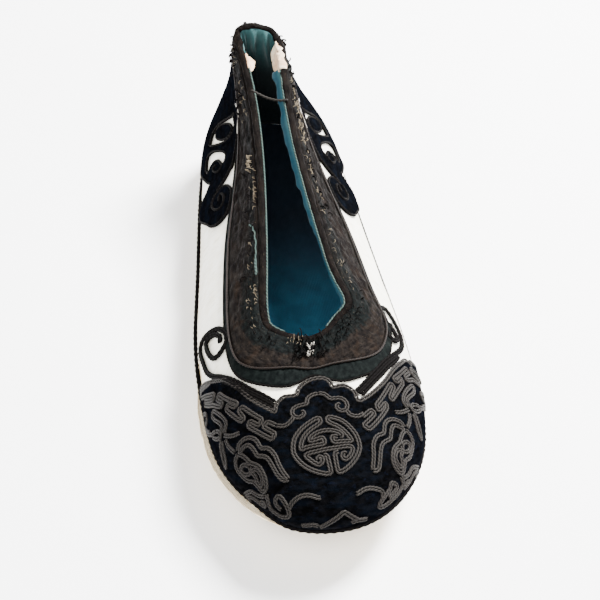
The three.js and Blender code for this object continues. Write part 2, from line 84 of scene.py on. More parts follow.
# along, half, lift, rim along, rim half, rim instep, rim heel, bulge, inward, drop, collar, border,
# undercut: the shares of the CAD's table, from heel seam to toe seam
SECTIONS = np.array([
    (0.000, 0.000, 0.00, 0.035, 0.00, 1.00, 1.00, 1.20, 0.100, 0.460, 0.50, 0.40, 0.24),
    (0.008, 0.250, 0.00, 0.041, 0.50, 1.00, 0.96, 1.20, 0.100, 0.460, 0.50, 0.40, 0.24),
    (0.054, 0.560, 0.00, 0.083, 0.58, 1.00, 0.84, 1.20, 0.170, 0.450, 0.53, 0.40, 0.24),
    (0.151, 0.710, 0.00, 0.180, 0.51, 1.00, 0.56, 1.00, 0.300, 0.460, 0.62, 0.40, 0.30),
    (0.277, 0.795, 0.00, 0.306, 0.55, 1.00, 0.31, 0.80, 0.340, 0.410, 0.76, 0.40, 0.35),
    (0.413, 0.870, 0.00, 0.442, 0.70, 1.00, 0.17, 0.65, 0.360, 0.340, 0.93, 0.40, 0.35),
    (0.558, 0.955, 0.00, 0.568, 0.88, 1.00, 0.08, 0.70, 0.390, 0.250, 0.87, 0.40, 0.30),
    (0.694, 1.000, 0.06, 0.655, 1.00, 0.99, 0.00, 0.90, 0.445, 0.180, 0.83, 0.45, 0.35),
    (0.824, 0.945, 0.32, 0.690, 0.86, 0.95, 0.00, 1.00, 0.500, 0.130, 0.97, 0.76, 0.55),
    (0.920, 0.720, 0.64, 0.703, 0.58, 0.93, 0.00, 1.00, 0.500, 0.105, 1.00, 1.10, 0.80),
    (0.980, 0.385, 0.92, 0.707, 0.29, 0.91, 0.00, 1.00, 0.500, 0.105, 0.97, 1.15, 0.97),
    (0.998, 0.000, 1.00, 0.708, 0.00, 0.90, 0.00, 1.00, 0.500, 0.105, 0.80, 0.45, 1.00),
])
TOE = len(SECTIONS) - 1
ROUND = 2 * TOE


def closed_column(entries, scale=1.0, other_side=1):
    """One column of the table as a smooth function of the place, on both sides of the shoe."""
    half = np.asarray(entries, float) * scale
    values = np.concatenate([half, other_side * half[1:-1][::-1]])
    count = len(values)
    unit = np.eye(count)
    system = 4 * unit + np.roll(unit, 1, 0) + np.roll(unit, -1, 0)
    kinks = 6 * (np.roll(values, -1) - 2 * values + np.roll(values, 1))
    bends = np.linalg.solve(system, kinks)

    def value(place):
        place = np.asarray(place, float)
        whole = np.floor(place).astype(int)
        share = place - whole
        rest = 1 - share
        here = whole % count
        after = (here + 1) % count
        straight = rest * values[here] + share * values[after]
        return straight + ((rest ** 3 - rest) * bends[here] + (share ** 3 - share) * bends[after]) / 6

    return value


base_along = closed_column(SECTIONS[:, 0])
base_half = closed_column(SECTIONS[:, 1], BALL_WIDTH / 2, -1)
base_lift = closed_column(SECTIONS[:, 2], TOE_LIFT)
rim_along = closed_column(SECTIONS[:, 3])
rim_half = closed_column(SECTIONS[:, 4], THROAT_WIDTH / 2, -1)
rim_rise = closed_column(SECTIONS[:, 5] * INSTEP_HEIGHT + SECTIONS[:, 6] * (HEEL_HEIGHT - INSTEP_HEIGHT))
bulge = closed_column(SECTIONS[:, 7], BELLY)
inward = closed_column(SECTIONS[:, 8])
drop = closed_column(SECTIONS[:, 9])
collar_width = closed_column(SECTIONS[:, 10], COLLAR_WIDTH)
border_reach = closed_column(SECTIONS[:, 11], BORDER_WIDTH)
undercut = closed_column(SECTIONS[:, 12], TOE_UNDERCUT)


def smoothstep(x, low, high):
    share = np.clip((x - low) / (high - low), 0, 1)
    return share * share * (3 - 2 * share)


def plan_point(along, half, height):
    swing = TOE_SWING * (np.maximum(0, along - SWING_START) / (1 - SWING_START)) ** 2
    return np.stack(np.broadcast_arrays(half + swing, (0.5 - along) * LENGTH, height), -1)


def base_point(place):
    return plan_point(base_along(place), base_half(place), SOLE_THICKNESS + SEAT + base_lift(place))


def near(place, middle, width):
    """One at a place and falling to nothing about twice the width away from it."""
    away = np.mod(np.asarray(place, float) - middle + ROUND / 2, ROUND) - ROUND / 2
    return np.exp(-(away / width) ** 2)


def rim_point(place):
    """The edge of the opening, pulled out of true where the photograph shows it worn."""
    point = plan_point(rim_along(place), rim_half(place), SOLE_THICKNESS + SEAT + rim_rise(place))
    torn_corner = near(place, 6.9, 0.5)
    front_right = near(place, 8.2, 0.9)
    front_left = near(place, 14.2, 0.45)
    collar = near(place, 0.0, 2.6)
    point[..., 0] += 2.6 * torn_corner - 0.5 * front_left - 3.8 * collar
    point[..., 1] += 3.6 * front_right - 1.6 * near(place, 10.9, 1.6)
    point[..., 2] += 0.9 * near(place, 21.6, 0.5) - 3.0 * near(place, 1.3, 0.8)
    return point


def collar_reach(place):
    """From the edge of the opening to the border's outer edge, which keeps its line where the rim is worn back."""
    return collar_width(place) + 3.0 * near(place, 8.2, 0.9) - 1.6 * near(place, 10.9, 1.6)


def tuck(place):
    """How far the left of the toe is pushed in over the edge of its sole, from 0 to 1."""
    place = np.mod(np.asarray(place, float), ROUND)
    return smoothstep(place, 11.8, 12.9) * smoothstep(place, 16.2, 14.4)


def unit_vector(v):
    return v / np.maximum(np.linalg.norm(v, axis=-1, keepdims=True), 1e-12)


def outward(place):
    step = 0.001
    ahead = base_point(place + step) - base_point(place - step)
    return unit_vector(np.stack([-ahead[..., 1], ahead[..., 0], np.zeros(ahead.shape[:-1])], -1))


def wall_point(place, share):
    """The outer face of the upper: share 0 is the base line and share 1 the edge of the opening."""
    place, share = np.broadcast_arrays(np.asarray(place, float), np.asarray(share, float))
    pushed = tuck(place)
    base = base_point(place) - outward(place) * (TOE_TUCK * pushed)[..., None]
    rim = rim_point(place)
    belly = base + outward(place) * (bulge(place) * (1 - 0.6 * pushed))[..., None]
    belly[..., 2] += BELLY_RISE
    over_base = np.stack([base[..., 0], base[..., 1], rim[..., 2]], -1)
    shoulder = rim + (over_base - rim) * inward(place)[..., None]
    shoulder[..., 2] -= drop(place) * rim_rise(place)
    s = share[..., None]
    rest = 1 - s
    return rest ** 3 * base + 3 * rest ** 2 * s * belly + 3 * rest * s ** 2 * shoulder + s ** 3 * rim


def wall_normal(place, share):
    step = 0.002
    around = wall_point(place + step, share) - wall_point(place - step, share)
    up = wall_point(place, share + step) - wall_point(place, share - step)
    return unit_vector(np.cross(up, around))


# Lookup of the wall's share from the distance below the rim
TABLE_COLUMNS = 660
TABLE_ROWS = 80
table_places = np.arange(TABLE_COLUMNS + 1) / TABLE_COLUMNS * ROUND
table_shares = np.linspace(1, 0, TABLE_ROWS + 1)
table_points = wall_point(table_places[None, :], table_shares[:, None])
table_down = np.concatenate([
    np.zeros((1, TABLE_COLUMNS + 1)),
    np.cumsum(np.linalg.norm(np.diff(table_points, axis=0), axis=-1), 0),
])
table_whole = table_down[-1]
even_down = np.linspace(0, 1, TABLE_ROWS + 1)
share_table = np.stack([
    np.interp(even_down * table_whole[i], table_down[:, i], table_shares) for i in range(TABLE_COLUMNS + 1)
], 1)
middle_row = TABLE_ROWS // 2
along_steps = np.linalg.norm(np.diff(table_points[middle_row], axis=0), axis=-1)
table_along = np.concatenate([[0], np.cumsum(along_steps)])


def whole_length(place):
    return np.interp(np.mod(place, ROUND), table_places, table_whole)


def along_length(place):
    """Distance round the shoe at half height, from the heel seam."""
    place = np.asarray(place, float)
    return np.interp(np.mod(place, ROUND), table_places, table_along) + np.floor(place / ROUND) * table_along[-1]


def share_below(place, down):
    place, down = np.broadcast_arrays(np.asarray(place, float), np.asarray(down, float))
    column = np.mod(place, ROUND) / ROUND * TABLE_COLUMNS
    left = np.minimum(column.astype(int), TABLE_COLUMNS - 1)
    row = np.clip(down / whole_length(place), 0, 1) * TABLE_ROWS
    top = np.minimum(row.astype(int), TABLE_ROWS - 1)
    fx = column - left
    fy = row - top
    low = share_table[top, left] * (1 - fx) + share_table[top, left + 1] * fx
    high = share_table[top + 1, left] * (1 - fx) + share_table[top + 1, left + 1] * fx
    found = low * (1 - fy) + high * fy
    beyond = down - np.clip(down, 0, whole_length(place))
    return found - beyond / whole_length(place)


def at(place, down, height):
    """The point over the upper at a place, a distance below the rim and a height above the wall."""
    share = share_below(place, down)
    place = np.broadcast_to(np.asarray(place, float), share.shape)
    return wall_point(place, share) + wall_normal(place, share) * np.asarray(height, float)[..., None]


def noise(x, y, size, seed, octaves=1):
    """Smooth noise between about -1 and 1, with lumps of about the given size."""
    x, y = np.broadcast_arrays(np.asarray(x, float), np.asarray(y, float))
    total = np.zeros(x.shape)
    weight = 1.0
    for octave in range(octaves):
        lattice = np.random.default_rng(seed * 31 + octave).uniform(-1, 1, (64, 64))
        gx = x / size * 2 ** octave
        gy = y / size * 2 ** octave
        ix = np.floor(gx).astype(int)
        iy = np.floor(gy).astype(int)
        fx = gx - ix
        fy = gy - iy
        fx = fx * fx * (3 - 2 * fx)
        fy = fy * fy * (3 - 2 * fy)
        a = lattice[iy % 64, ix % 64]
        b = lattice[iy % 64, (ix + 1) % 64]
        c = lattice[(iy + 1) % 64, ix % 64]
        d = lattice[(iy + 1) % 64, (ix + 1) % 64]
        total += weight * ((a * (1 - fx) + b * fx) * (1 - fy) + (c * (1 - fx) + d * fx) * fy)
        weight *= 0.5
    return total


# The photograph's camera in the shoe's frame, for marks read off the photograph in pixels
PHOTO_POSITION = np.array([-53.6, -481.3, 506.4])
PHOTO_FOCAL = 1350
PHOTO_CENTRE = 300
PHOTO_PITCH = math.radians(44.82)
PHOTO_YAW = math.radians(-0.82)
MARK_HEIGHT = 1.5

mark_points = wall_point(table_places[None, ::2], table_shares[::2, None])
mark_points = mark_points + wall_normal(
    np.broadcast_to(table_places[None, ::2], mark_points.shape[:2]),
    np.broadcast_to(table_shares[::2, None], mark_points.shape[:2])) * MARK_HEIGHT
mark_down = table_down[::2, ::2]
mark_rows, mark_columns = mark_down.shape
mark_faces = []
for row in range(mark_rows - 1):
    for column in range(mark_columns - 1):
        first = row * mark_columns + column
        mark_faces.append((first, first + 1, first + mark_columns + 1))
        mark_faces.append((first, first + mark_columns + 1, first + mark_columns))
mark_flat = [Vector(point) for point in mark_points.reshape(-1, 3)]
mark_chart = [
    Vector((table_places[2 * column], mark_down[row, column], 0))
    for row in range(mark_rows) for column in range(mark_columns)
]
mark_tree = BVHTree.FromPolygons(mark_flat, mark_faces)


def photo_direction(x, y):
    across = (x - PHOTO_CENTRE) / PHOTO_FOCAL
    below = (y - PHOTO_CENTRE) / PHOTO_FOCAL
    ahead = np.array([0, math.cos(PHOTO_PITCH), -math.sin(PHOTO_PITCH)])
    lower = np.array([0, -math.sin(PHOTO_PITCH), -math.cos(PHOTO_PITCH)])
    ray = ahead + below * lower + np.array([across, 0, 0])
    turn = np.array([
        [math.cos(PHOTO_YAW), math.sin(PHOTO_YAW), 0],
        [-math.sin(PHOTO_YAW), math.cos(PHOTO_YAW), 0],
        [0, 0, 1],
    ])
    return turn @ ray


def chart_of(marks):
    """Places and distances below the rim of marks given in the photograph's pixels."""
    found = []
    inside_x = 430
    for x, y in marks:
        for _ in range(40):
            hit, _, face, _ = mark_tree.ray_cast(Vector(PHOTO_POSITION), Vector(photo_direction(x, y)))
            if hit is not None:
                break
            x += 0.4 if x < inside_x else -0.4
        corners = mark_faces[face]
        spot = barycentric_transform(hit, *[mark_flat[k] for k in corners], *[mark_chart[k] for k in corners])
        found.append((spot.x, spot.y))
    return np.array(found)


def midline(down):
    """The middle of the ornament on the toe wanders about the toe seam as it goes down."""
    return TOE + np.interp(down, [20, 35, 43, 50, 60, 70, 76], [-0.05, -0.02, 0.10, 0.05, -0.02, -0.15, -0.02])


def mirrored(chart):
    other = chart.copy()
    other[:, 0] = 2 * midline(chart[:, 1]) - chart[:, 0]
    return other


def resampled(points, spacing):
    """Points of an open line at an even spacing."""
    steps = np.linalg.norm(np.diff(points, axis=0), axis=-1)
    length = np.concatenate([[0], np.cumsum(steps)])
    count = max(2, int(round(length[-1] / spacing)) + 1)
    wanted = np.linspace(0, length[-1], count)
    return np.stack([np.interp(wanted, length, points[:, k]) for k in range(points.shape[1])], -1)


def curved(points, closed=False, steps=8):
    """A Catmull-Rom curve through points."""
    points = np.asarray(points, float)
    count = len(points)
    spans = count if closed else count - 1
    out = []
    for i in range(spans):
        if closed:
            p0, p1, p2, p3 = [points[(i + k) % count] for k in (-1, 0, 1, 2)]
        else:
            p0 = points[max(0, i - 1)]
            p1 = points[i]
            p2 = points[i + 1]
            p3 = points[min(count - 1, i + 2)]
        for f in np.arange(steps) / steps:
            out.append(0.5 * (2 * p1 + (p2 - p0) * f + (2 * p0 - 5 * p1 + 4 * p2 - p3) * f ** 2
                              + (3 * p1 - p0 - 3 * p2 + p3) * f ** 3))
    if not closed:
        out.append(points[-1])
    return np.array(out)


def softened(points, sigma):
    """An evenly spaced line with its corners rounded; its ends stay."""
    reach = int(3 * sigma) + 1
    kernel = np.exp(-0.5 * (np.arange(-reach, reach + 1) / sigma) ** 2)
    kernel /= kernel.sum()
    before = 2 * points[0] - points[1:reach + 1][::-1]
    after = 2 * points[-1] - points[-reach - 1:-1][::-1]
    padded = np.concatenate([before, points, after])
    return np.stack([np.convolve(padded[:, k], kernel, "valid") for k in range(points.shape[1])], -1)


# Meshes and materials

def mesh_piece(name, points, faces, material, uvs=None, values=None, replaces=(), smooth=True):
    """A piece in metres from points in millimetres. uvs are per point, in millimetres of cloth."""
    mesh = bpy.data.meshes.new(name)
    mesh.from_pydata((np.asarray(points) * MM).tolist(), [], [list(map(int, face)) for face in faces])
    if uvs is not None:
        layer = mesh.uv_layers.new(name="cloth")
        corner = np.empty(len(mesh.loops), dtype=np.int32)
        mesh.loops.foreach_get("vertex_index", corner)
        layer.data.foreach_set("uv", (np.asarray(uvs)[corner] * MM).astype(np.float32).ravel())
    for key, entries in (values or {}).items():
        attribute = mesh.attributes.new(key, "FLOAT", "POINT")
        attribute.data.foreach_set("value", np.asarray(entries, np.float32).ravel())
    mesh.polygons.foreach_set("use_smooth", [smooth] * len(mesh.polygons))
    mesh.materials.append(material)
    mesh.update()
    piece = bpy.data.objects.new(name, mesh)
    bpy.context.scene.collection.objects.link(piece)
    if replaces:
        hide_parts(*replaces)
    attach(piece, "root")
    return piece


def grid_faces(rows, columns, wrap, first=0, flip=False):
    r = np.arange(rows - 1)[:, None]
    c = np.arange(columns if wrap else columns - 1)[None, :]
    nxt = (c + 1) % columns
    quad = np.stack(np.broadcast_arrays(
        first + r * columns + c, first + r * columns + nxt,
        first + (r + 1) * columns + nxt, first + (r + 1) * columns + c), -1).reshape(-1, 4)
    return quad[:, ::-1] if flip else quad


def closed_sheet(outer, inner, wrap):
    """Points and faces of a sheet between two grids of rows and columns."""
    rows, columns = outer.shape[:2]
    count = rows * columns
    faces = [grid_faces(rows, columns, wrap), grid_faces(rows, columns, wrap, count, True)]
    c = np.arange(columns if wrap else columns - 1)
    nxt = (c + 1) % columns
    last = (rows - 1) * columns
    faces.append(np.stack([c, count + c, count + nxt, nxt], -1))
    faces.append(np.stack([last + c, last + nxt, count + last + nxt, count + last + c], -1))
    if not wrap:
        r = np.arange(rows - 1)
        a = r * columns
        b = (r + 1) * columns
        faces.append(np.stack([a, b, count + b, count + a], -1))
        e = columns - 1
        faces.append(np.stack([a + e, count + a + e, count + b + e, b + e], -1))
    return np.concatenate([outer.reshape(-1, 3), inner.reshape(-1, 3)]), np.concatenate(faces)


def srgb(code):
    parts = [(code >> shift & 255) / 255 for shift in (16, 8, 0)]
    linear = [c / 12.92 if c <= 0.04045 else ((c + 0.055) / 1.055) ** 2.4 for c in parts]
    return (*linear, 1.0)


class Cloth:
    """A procedural material; its nodes read the cloth coordinates in metres."""

    def __init__(self, name, roughness, sheen=0.0, sheen_tint=0xffffff, specular=0.3, sheen_roughness=0.4):
        self.material = bpy.data.materials.new(name)
        self.material.use_nodes = True
        self.tree = self.material.node_tree
        self.shader = self.tree.nodes["Principled BSDF"]
        self.shader.inputs["Roughness"].default_value = roughness
        self.shader.inputs["Sheen Weight"].default_value = sheen
        self.shader.inputs["Sheen Tint"].default_value = srgb(sheen_tint)
        self.shader.inputs["Sheen Roughness"].default_value = sheen_roughness
        self.shader.inputs["Specular IOR Level"].default_value = specular
        self.normal = None
        self.uv = self.node("ShaderNodeUVMap", uv_map="cloth").outputs["UV"]

    def node(self, kind, **settings):
        made = self.tree.nodes.new(kind)
        for key, value in settings.items():
            setattr(made, key, value)
        return made

    def feed(self, made, **inputs):
        for key, value in inputs.items():
            socket = made.inputs[key.replace("_", " ")] if key.replace("_", " ") in made.inputs else made.inputs[key]
            if isinstance(value, bpy.types.NodeSocket):
                self.tree.links.new(value, socket)
            else:
                socket.default_value = value
        return made

    def scaled(self, along, down, turn=0.0):
        """Cloth coordinates stretched so that one unit is the given number of millimetres."""
        mapping = self.node("ShaderNodeMapping")
        self.feed(mapping, Vector=self.uv, Scale=(1 / (along * MM), 1 / (down * MM), 1), Rotation=(0, 0, turn))
        return mapping.outputs["Vector"]

    def mottle(self, along, down, detail=3.0, roughness=0.55, turn=0.0):
        made = self.node("ShaderNodeTexNoise")
        self.feed(made, Vector=self.scaled(along, down, turn), Scale=1.0, Detail=detail, Roughness=roughness)
        return made.outputs["Fac"]

    def threads(self, period, turn, distortion=0.0):
        """Fine parallel threads of the given period in millimetres."""
        made = self.node("ShaderNodeTexWave", wave_type="BANDS", bands_direction="X")
        wave_lengths = 2 * math.pi / 20
        self.feed(made, Vector=self.scaled(period / wave_lengths, period / wave_lengths, turn), Scale=1.0,
                  Distortion=distortion, Detail=1.0)
        return made.outputs["Fac"]

    def value(self, name):
        return self.node("ShaderNodeAttribute", attribute_name=name).outputs["Fac"]

    def between(self, fac, low, high):
        made = self.node("ShaderNodeMapRange", interpolation_type="SMOOTHSTEP")
        self.feed(made, Value=fac)
        made.inputs["From Min"].default_value = low
        made.inputs["From Max"].default_value = high
        return made.outputs["Result"]

    def maths(self, operation, a, b=0.5):
        made = self.node("ShaderNodeMath", operation=operation)
        for socket, value in zip(made.inputs, (a, b)):
            if isinstance(value, bpy.types.NodeSocket):
                self.tree.links.new(value, socket)
            else:
                socket.default_value = value
        return made.outputs["Value"]

    def mix(self, fac, a, b, blend="MIX"):
        made = self.node("ShaderNodeMix", data_type="RGBA", blend_type=blend)
        sockets = [made.inputs[0], made.inputs[6], made.inputs[7]]
        for socket, value in zip(sockets, (fac, a, b)):
            if isinstance(value, bpy.types.NodeSocket):
                self.tree.links.new(value, socket)
            elif isinstance(value, int) and socket is not sockets[0]:
                socket.default_value = srgb(value)
            else:
                socket.default_value = value
        return made.outputs[2]

    def bump(self, height, strength, distance):
        made = self.node("ShaderNodeBump")
        self.feed(made, Height=height, Strength=strength, Distance=distance * MM)
        if self.normal is not None:
            self.tree.links.new(self.normal, made.inputs["Normal"])
        self.normal = made.outputs["Normal"]

    def done(self, colour, roughness=None):
        self.tree.links.new(colour, self.shader.inputs["Base Color"])
        if roughness is not None:
            self.tree.links.new(roughness, self.shader.inputs["Roughness"])
        if self.normal is not None:
            self.tree.links.new(self.normal, self.shader.inputs["Normal"])
        return self.material


def make_white_silk():
    cloth = Cloth("white_silk_satin", 0.5, sheen=0.15, specular=0.3)
    weft = cloth.threads(0.42, 0.0, 1.5)
    warp = cloth.threads(0.30, math.pi / 2, 1.0)
    worn = cloth.mottle(9, 6, 4)
    streak = cloth.mottle(0.7, 9, 4, 0.65)
    specks = cloth.mottle(0.8, 0.8, 3, 0.7)
    colour = cloth.mix(cloth.between(worn, 0.35, 0.7), 0xf8f5ea, 0xede7d4)
    colour = cloth.mix(cloth.maths("MULTIPLY", cloth.between(streak, 0.50, 0.70), 0.7), colour, 0xbdb498)
    colour = cloth.mix(cloth.maths("MULTIPLY", weft, 0.12), colour, 0xb9b3a2)
    colour = cloth.mix(cloth.maths("MULTIPLY", cloth.between(specks, 0.70, 0.76), 0.6), colour, 0x7a6a50)
    stain = cloth.maths("MULTIPLY", cloth.value("stain"), cloth.between(cloth.mottle(5, 4, 4), 0.3, 0.6))
    colour = cloth.mix(stain, colour, 0xb59a6a)
    cloth.bump(weft, 0.25, 0.08)
    cloth.bump(warp, 0.2, 0.06)
    cloth.bump(streak, 0.4, 0.25)
    cloth.bump(worn, 0.4, 0.7)
    return cloth.done(colour)


def make_velvet():
    cloth = Cloth("black_velvet_pile", 0.9, sheen=0.02, sheen_tint=0x4c577d, specular=0.0, sheen_roughness=0.3)
    lie = cloth.mottle(9, 4, 5, 0.6)
    pile = cloth.mottle(0.45, 0.45, 2)
    crushed = cloth.mottle(3.2, 2.2, 4, 0.62)
    colour = cloth.mix(cloth.between(lie, 0.42, 0.68), 0x020202, 0x04060a)
    shine = cloth.maths("MULTIPLY", cloth.between(crushed, 0.55, 0.72), 0.6)
    colour = cloth.mix(shine, colour, 0x090c15)
    colour = cloth.mix(cloth.maths("MULTIPLY", cloth.between(pile, 0.5, 0.8), 0.4), colour, 0x090a0e)
    rubbed = cloth.maths("MULTIPLY", cloth.value("rub"), cloth.between(cloth.mottle(2.5, 2, 4), 0.4, 0.65))
    colour = cloth.mix(rubbed, colour, 0x0e0e10)
    cloth.bump(pile, 0.6, 0.4)
    cloth.bump(crushed, 0.4, 0.8)
    return cloth.done(colour)


def make_cord(name, light, dark, stain, roughness=0.6, sheen=0.02, specular=0.08):
    cloth = Cloth(name, roughness, sheen=sheen, specular=specular)
    fibre = cloth.mottle(0.35, 0.2, 3)
    worn = cloth.mottle(6, 3, 3)
    colour = cloth.mix(cloth.between(fibre, 0.3, 0.7), dark, light)
    colour = cloth.mix(cloth.maths("MULTIPLY", cloth.between(worn, 0.45, 0.7), 0.5), colour, stain)
    # painted shade: the colour goes near black where the groove attribute marks the hollows between the twisted plies
    colour = cloth.mix(cloth.value("groove"), colour, 0x0b0a0a)
    cloth.bump(fibre, 0.35, 0.12)
    return cloth.done(colour)


def make_brown_silk():
    cloth = Cloth("brown_silk_band", 0.7, specular=0.02)
    threads = cloth.threads(0.45, math.pi / 2, 1.2)
    creases = cloth.mottle(6.5, 2.4, 5, 0.65, 0.25)
    wrinkles = cloth.mottle(5.5, 0.9, 5, 0.65, 0.12)
    patches = cloth.mottle(9, 5, 4)
    colour = cloth.mix(cloth.between(creases, 0.34, 0.66), 0x0a0808, 0x191512)
    colour = cloth.mix(cloth.maths("MULTIPLY", cloth.between(patches, 0.48, 0.66), 0.5), colour, 0x201812)
    # painted shade: dark lines in the hollows of the wrinkles
    lines = cloth.maths("MULTIPLY", cloth.between(wrinkles, 0.46, 0.36), 0.8)
    colour = cloth.mix(lines, colour, 0x040404)
    green = cloth.mix(cloth.between(wrinkles, 0.35, 0.65), 0x030404, 0x0d1212)
    colour = cloth.mix(cloth.value("green"), colour, green)
    colour = cloth.mix(cloth.maths("MULTIPLY", cloth.value("shade"), 0.6), colour, 0x030202)
    flecks = cloth.between(cloth.mottle(2.6, 0.4, 5, 0.7, 0.1), 0.62, 0.70)
    colour = cloth.mix(cloth.maths("MULTIPLY", cloth.value("fray"), flecks), colour, 0x5e5140)
    colour = cloth.mix(cloth.maths("MULTIPLY", threads, 0.2), colour, 0x050404)
    gloss = cloth.between(creases, 0.65, 0.35)
    roughness = cloth.maths("ADD", cloth.maths("MULTIPLY", gloss, 0.25), 0.6)
    cloth.bump(threads, 0.3, 0.08)
    cloth.bump(wrinkles, 0.8, 0.6)
    cloth.bump(creases, 0.8, 0.9)
    return cloth.done(colour, roughness)


def make_green_silk():
    cloth = Cloth("green_silk_border", 0.7, specular=0.02)
    threads = cloth.threads(0.45, 0.0, 1.2)
    patches = cloth.mottle(3.5, 2.2, 4, 0.65)
    colour = cloth.mix(cloth.between(patches, 0.38, 0.66), 0x030505, 0x0b0f0e)
    colour = cloth.mix(cloth.maths("MULTIPLY", threads, 0.2), colour, 0x040505)
    cloth.bump(threads, 0.3, 0.08)
    cloth.bump(patches, 0.5, 0.6)
    return cloth.done(colour)


def make_plain_cloth(name, light, dark, shade, period=0.55, roughness=0.9, sheen=0.15):
    """Plain woven cloth with mottled colour; its shade attribute darkens it towards the shade colour as painted shade.
    """
    cloth = Cloth(name, roughness, sheen=sheen, specular=0.2)
    weft = cloth.threads(period, 0.0, 0.8)
    warp = cloth.threads(period, math.pi / 2, 0.8)
    patches = cloth.mottle(11, 11, 4)
    colour = cloth.mix(cloth.between(patches, 0.35, 0.65), light, dark)
    crossing = cloth.maths("MULTIPLY", weft, warp)
    colour = cloth.mix(cloth.maths("MULTIPLY", crossing, 0.3), colour, shade)
    colour = cloth.mix(cloth.value("shade"), colour, shade)
    cloth.bump(crossing, 0.5, 0.15)
    cloth.bump(patches, 0.3, 0.6)
    return cloth.done(colour)


def make_sole_cloth():
    cloth = Cloth("sole_layered_cloth", 0.9, sheen=0.1, specular=0.2)
    weft = cloth.threads(0.7, 0.0, 1.0)
    layers = cloth.threads(1.15, math.pi / 2, 2.5)
    grime = cloth.mottle(9, 3, 5, 0.65)
    colour = cloth.mix(cloth.between(grime, 0.4, 0.7), 0xfff2d6, 0xe9d2a6)
    colour = cloth.mix(cloth.maths("MULTIPLY", cloth.between(layers, 0.6, 0.9), 0.25), colour, 0xa8946c)
    stain = cloth.maths("MULTIPLY", cloth.value("stain"), cloth.between(cloth.mottle(6, 1.2, 5), 0.42, 0.6))
    colour = cloth.mix(stain, colour, 0x8a6f45)
    cloth.bump(weft, 0.3, 0.12)
    cloth.bump(layers, 0.5, 0.3)
    cloth.bump(grime, 0.4, 0.5)
    return cloth.done(colour)


white_silk = make_white_silk()
velvet = make_velvet()
grey_cord = make_cord("grey_couched_cord", 0x302c28, 0x100e0d, 0x201c17)
black_cord = make_cord("black_couched_cord", 0x0c0a09, 0x030303, 0x090707, sheen=0.0, specular=0.01)
brown_silk = make_brown_silk()
green_silk = make_green_silk()
teal_cloth = make_plain_cloth("teal_lining_cloth", 0x294848, 0x19393b, 0x051216)
insole_cloth = make_plain_cloth("insole_blue_cloth", 0x275f79, 0x1d5069, 0x041220, period=0.7)
sole_cloth = make_sole_cloth()
loose_cloth = make_plain_cloth("loose_teal_cloth", 0x3a6267, 0x1f4c56, 0x06303e)
padding_cloth = make_plain_cloth("cream_padding_cotton", 0xecdcc2, 0xc6a07e, 0x8a6a4a, period=0.9)
frayed_thread = make_cord("frayed_beige_thread", 0x918570, 0x594c3a, 0x6e624d)
silver_thread = make_cord("worn_silver_thread", 0xcfc9bd, 0x6a645a, 0x8f887a, roughness=0.4, specular=0.4)
edge_cord = make_cord("brown_edge_cord", 0x29201b, 0x0e0b0a, 0x19130f)
teal_cord = make_cord("teal_piping_cord", 0x435650, 0x203533, 0x454337)

SHELL_COLUMNS = 440


def around(columns=SHELL_COLUMNS):
    return np.arange(columns) / columns * ROUND


def cloth_uv(place, down):
    place, down = np.broadcast_arrays(place, down)
    return np.stack([along_length(place), down], -1).reshape(-1, 2)


def build_upper():
    rows = 44
    place = np.broadcast_to(around()[None, :], (rows, SHELL_COLUMNS))
    share = np.linspace(0, 1, rows)[:, None]
    down = share * whole_length(place)
    run = along_length(place)
    creases = 0.10 * noise(run, down, 14, 3, 2) + 0.05 * noise(run, down * 0.4, 4, 5)
    creases = creases * smoothstep(share, 0.02, 0.1) * smoothstep(1 - share, 0.0, 0.08)
    outer = at(place, down, creases - 0.02)
    inner = at(place, down, np.full(down.shape, -1.1))
    points, faces = closed_sheet(outer, inner, True)
    up = whole_length(place) - down
    toe_side = smoothstep(np.abs(place - TOE), 9.5, 4.0)
    stain = smoothstep(up, 9, 1) * 0.6 + toe_side * smoothstep(up, 16, 2) * 0.8
    uv = cloth_uv(place, down)
    stain = np.clip(stain, 0, 1).reshape(-1)
    mesh_piece("upper_silk", points, faces, white_silk, np.concatenate([uv, uv]),
               {"stain": np.concatenate([stain, stain])}, ["upper"])


def build_lining():
    rows = 30
    place = np.broadcast_to(around()[None, :], (rows, SHELL_COLUMNS))
    share = np.linspace(0, 0.985, rows)[:, None]
    down = share * whole_length(place) - 0.6 * smoothstep(share, 0.06, 0)
    run = along_length(place)
    near_rim = smoothstep(down, 16, 0)
    wave = 0.55 * noise(run, down, 9, 11, 2) * (0.25 + near_rim)
    folds = 0.5 + 0.5 * np.cos(2 * math.pi * run / 6.5 + 2.2 * noise(run, down, 9, 12))
    wave = np.abs(wave) + 3.0 * near(place, 0, 2.2) * folds ** 1.5 * smoothstep(down, 24, 4) * smoothstep(down, -1, 4)
    outer = at(place, down, np.full(down.shape, -1.25))
    inner = at(place, down, -UPPER_WALL + 0.1 - np.abs(wave))
    points, faces = closed_sheet(inner, outer, True)
    faces = faces[:, ::-1]
    uv = cloth_uv(place, down)
    shade = np.clip(smoothstep(down, 8, 30), 0, 1).reshape(-1)
    mesh_piece("lining_cloth", points, faces, teal_cloth, np.concatenate([uv, uv]),
               {"shade": np.concatenate([shade, shade])})


def band_edge(place):
    return collar_reach(place) - border_reach(place)


